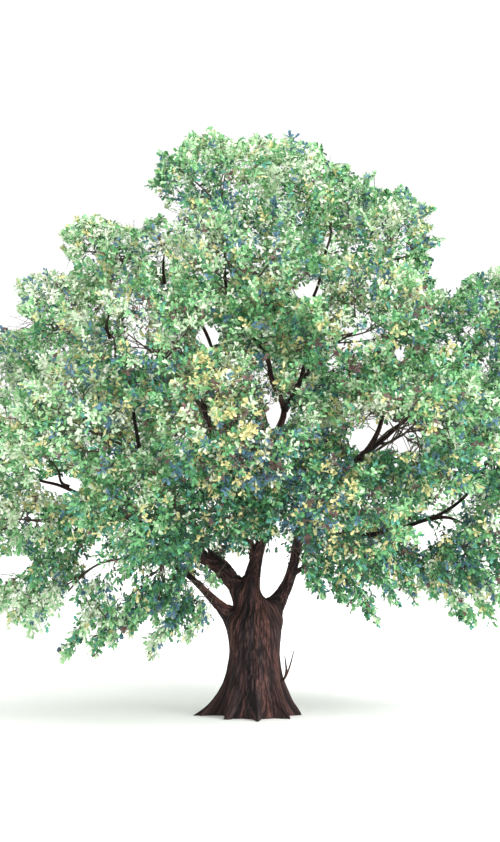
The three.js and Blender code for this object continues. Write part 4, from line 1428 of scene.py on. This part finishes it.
leaf_count = len(leaf_foot)
leaf_size = LEAF_LENGTH * rng.uniform(*LEAF_SIZES, leaf_count)
facing = outward[leaf_spray] * LEAF_OUTWARD + LEAF_UPWARD
facing = unit(facing + rng.normal(0, LEAF_TILT, (leaf_count, 3)))

# No spray hangs across an opening or a stretch of limb that shows.
spray_middle = spray_line(np.full((sprays, 1), SPRAY_MIDDLE))[:, 0]
across = in_opening(spray_middle, OPENINGS)
across |= along_showing(seen_at(spray_middle)) & (spray_middle[:, 1] < BEFORE_LIMB)
leaf_middle = leaf_foot + leaf_way * leaf_size[:, None] * LEAF_MIDDLE
ragged = rng.uniform(*RAGGED_OPENING, sprays)[leaf_spray]
# Streamers have fewer leaves, and so have sprays deep inside the crown.
leafy = LEAFY + (1 - LEAFY) * spray_size
foot_deep = np.linalg.norm((spray_foot - CROWN_MIDDLE) / CROWN_HALF, axis=1)
leafy *= ((foot_deep - LEAFY_FROM) / LEAFY_OVER).clip(LEAFY_INSIDE, 1)
keep = rng.uniform(0, 1, leaf_count) < leafy[leaf_spray]
keep &= ~in_opening(leaf_middle, OPENINGS, ragged[:, None])
keep &= ~touches_wood(leaf_middle, LEAF_MARGIN) & ~across[leaf_spray]
keep &= ~past_outline(leaf_middle, rng.uniform(*RAGGED_OUTLINE, sprays)[leaf_spray])
keep &= (leaf_middle > BOX_LOW).all(axis=1) & (leaf_middle < BOX_HIGH).all(axis=1)
keep &= ~(along_showing(seen_at(leaf_middle)) & (leaf_middle[:, 1] < BEFORE_LIMB))
leaf_foot, leaf_way, leaf_size, facing = leaf_foot[keep], leaf_way[keep], leaf_size[keep], facing[keep]
leaf_spray, leaf_shoot = leaf_spray[keep], leaf_shoot[keep]
print("leaves", len(leaf_foot))

rights = [(x, y, LEAF_FOLD * x) for x, y in LOBES]
lefts = [(-x, y, LEAF_FOLD * x) for x, y in LOBES]
blade = np.array([(0, 0, 0), *rights, (0, 1, 0), *lefts])
blade_faces = np.array([(0, 1, 2), (0, 2, 3), (0, 3, 4), (0, 6, 5), (0, 7, 6), (0, 4, 7)])


def leaves(where):
    way = leaf_way[where]
    side = unit(np.cross(way, facing[where]))
    up = np.cross(side, way)
    size = leaf_size[where][:, None, None]
    turned = np.stack([side, way, up], axis=1)
    points = leaf_foot[where][:, None] + np.einsum("vk,nkj->nvj", blade, turned) * size
    faces = (np.arange(len(way)) * len(blade))[:, None, None] + blade_faces
    return points.reshape(-1, 3), faces.reshape(-1, 3)


def patch(seen, middle, half):
    """A soft patch on the crown's face, 1 at its middle."""
    return np.exp(-((seen[:, 0] - middle[0]) / half[0]) ** 2 - ((seen[:, 1] - middle[1]) / half[1]) ** 2)


# Tints are dealt out by shoot, with a few odd leaves in each, as painted light and shade: painted light
# where the spray looks up and out and on the tops of clumps, painted shade low down and towards the fork.
seen = seen_at(spray_foot)
core = patch(seen, *CORE_PATCH)
heart = patch(seen, *HEART_PATCH)
edge = np.linalg.norm((seen - FACE_MIDDLE) / FACE_HALF, axis=1)
# Painted light on the top of each clump and painted shade under it.
topmost = relief(spray_foot, *CLUMPS) - relief(spray_foot + np.array([0, 0, CLUMP_TOP]), *CLUMPS)
light = LIGHT_EVEN + LIGHT_UPWARD * spray_way[:, 2] + LIGHT_CLUMP * topmost
light += LIGHT_EDGE * (edge - EDGE_EVEN) - CORE_SHADE * core
light += rng.normal(0, SPRAY_VARIES, sprays) + LIGHT_LEFT * np.clip(-seen[:, 0] / LEFT_REACH, 0, 1)
light += LIGHT_STRAND * (in_streamer & (hang[:, 0] > WEEPING)) + LIGHT_HEART * heart
shoots = sprays * (SIDE_SHOOTS + 1)
shoot_light = np.repeat(light, SIDE_SHOOTS + 1) + rng.normal(0, SHOOT_VARIES, shoots)
leaf_light = shoot_light[leaf_shoot] + rng.normal(0, LEAF_VARIES, len(leaf_shoot))
rank = np.argsort(np.argsort(-leaf_light)) / len(leaf_light)
tint = np.searchsorted(np.cumsum(TINT_SHARES), rank).clip(0, len(TINT_SHARES) - 1)
# Odd shoots, in drifts: bluish ones anywhere, and straw, brown and pale ones mostly in the crown's heart;
# the pale ones are painted highlights.
odd = rng.uniform(0, 1, shoots)[leaf_shoot]
cool_drift = smoothstep(relief(spray_foot, *COOL_DRIFTS), *COOL_EDGE)
warm_drift = smoothstep(relief(spray_foot, *WARM_DRIFTS), *WARM_EDGE)
bluish = BLUISH_LEAST + BLUISH_DRIFT * cool_drift
brown = BROWN_LEAST + BROWN_HEART * heart
straw = STRAW_LEAST + STRAW_HEART * heart + STRAW_DRIFT * warm_drift * (STRAW_OUTSIDE + heart)
tint_names = [name for name, pale, dark in TINTS]
for name, start, share in [
    ("leaf_slate", 0, bluish),
    ("leaf_umber", 0.3, brown),
    ("leaf_gold", 0.45, straw),
    ("leaf_silver", 0.9, brown),
]:
    tint[(odd >= start) & (odd < start + share[leaf_spray])] = tint_names.index(name)

for k, (name, pale, dark) in enumerate(TINTS):
    material = mottled(name, pale, dark, scale=9, roughness=0.6, shine=0.25, low=0.36, high=0.64)
    mesh_piece(name, [leaves(tint == k)], material, leaf_nodes)

twigs = [tubes(main_lines, main_radii, 6), tubes(feeder_lines, feeder_radii, 3)]
mesh_piece("twigs", twigs, twig_bark, leaf_nodes)
alive = np.isin(np.arange(sprays), leaf_spray)
clothed = np.isin(np.arange(shoots), leaf_shoot).reshape(sprays, -1)[:, :SIDE_SHOOTS]
main_shoots = spray_line(np.tile(MAIN_SHOOT_SHARES, (sprays, 1)))[alive]
main_thick = np.tile(MAIN_SHOOT_RADII, (len(main_shoots), 1))
side_lines = np.stack([shoot_foot, shoot_tip], axis=2)[clothed]
side_thick = np.tile(SIDE_SHOOT_RADII, (len(side_lines), 1))
fine_shoots = [tubes(main_shoots, main_thick, 3, True), tubes(side_lines, side_thick, 3, True)]
mesh_piece("shoots", fine_shoots, shoot_bark, leaf_nodes)

# Pale ground, soft light.
bpy.ops.mesh.primitive_plane_add(size=900, location=(0, 300, -0.002))
floor = bpy.context.object
floor.name = "floor"
pale_floor, _, floor_skin = shader("pale_floor", 1.0)
floor_skin.inputs["Base Color"].default_value = (0.93, 0.93, 0.92, 1)
floor_skin.inputs["Emission Color"].default_value = (1, 1, 1, 1)
floor_skin.inputs["Emission Strength"].default_value = 0.2
floor.data.materials.append(pale_floor)

world = bpy.data.worlds.new("studio")
bpy.context.scene.world = world
world.use_nodes = True
world.node_tree.nodes["Background"].inputs["Color"].default_value = (1, 1, 1, 1)
world.node_tree.nodes["Background"].inputs["Strength"].default_value = SKY_STRENGTH
bpy.ops.object.light_add(type="SUN", location=(30, -30, 40))
sun = bpy.context.object
sun.rotation_euler = SUN_WAY.to_track_quat("-Z", "Y").to_euler()
sun.data.energy = SUN_STRENGTH
sun.data.angle = SUN_SOFTNESS
# A warm side light that reaches the trunk under the crown.
bpy.ops.object.light_add(type="SPOT", location=SIDE_LIGHT)
side_light = bpy.context.object
side_light.rotation_euler = (SIDE_LIT - SIDE_LIGHT).to_track_quat("-Z", "Y").to_euler()
side_light.data.energy = SIDE_STRENGTH
side_light.data.color = (1, 0.86, 0.8)
side_light.data.spot_size = math.radians(5.5)
side_light.data.spot_blend = 0.6
side_light.data.shadow_soft_size = 3
bpy.context.scene.view_settings.view_transform = "Standard"
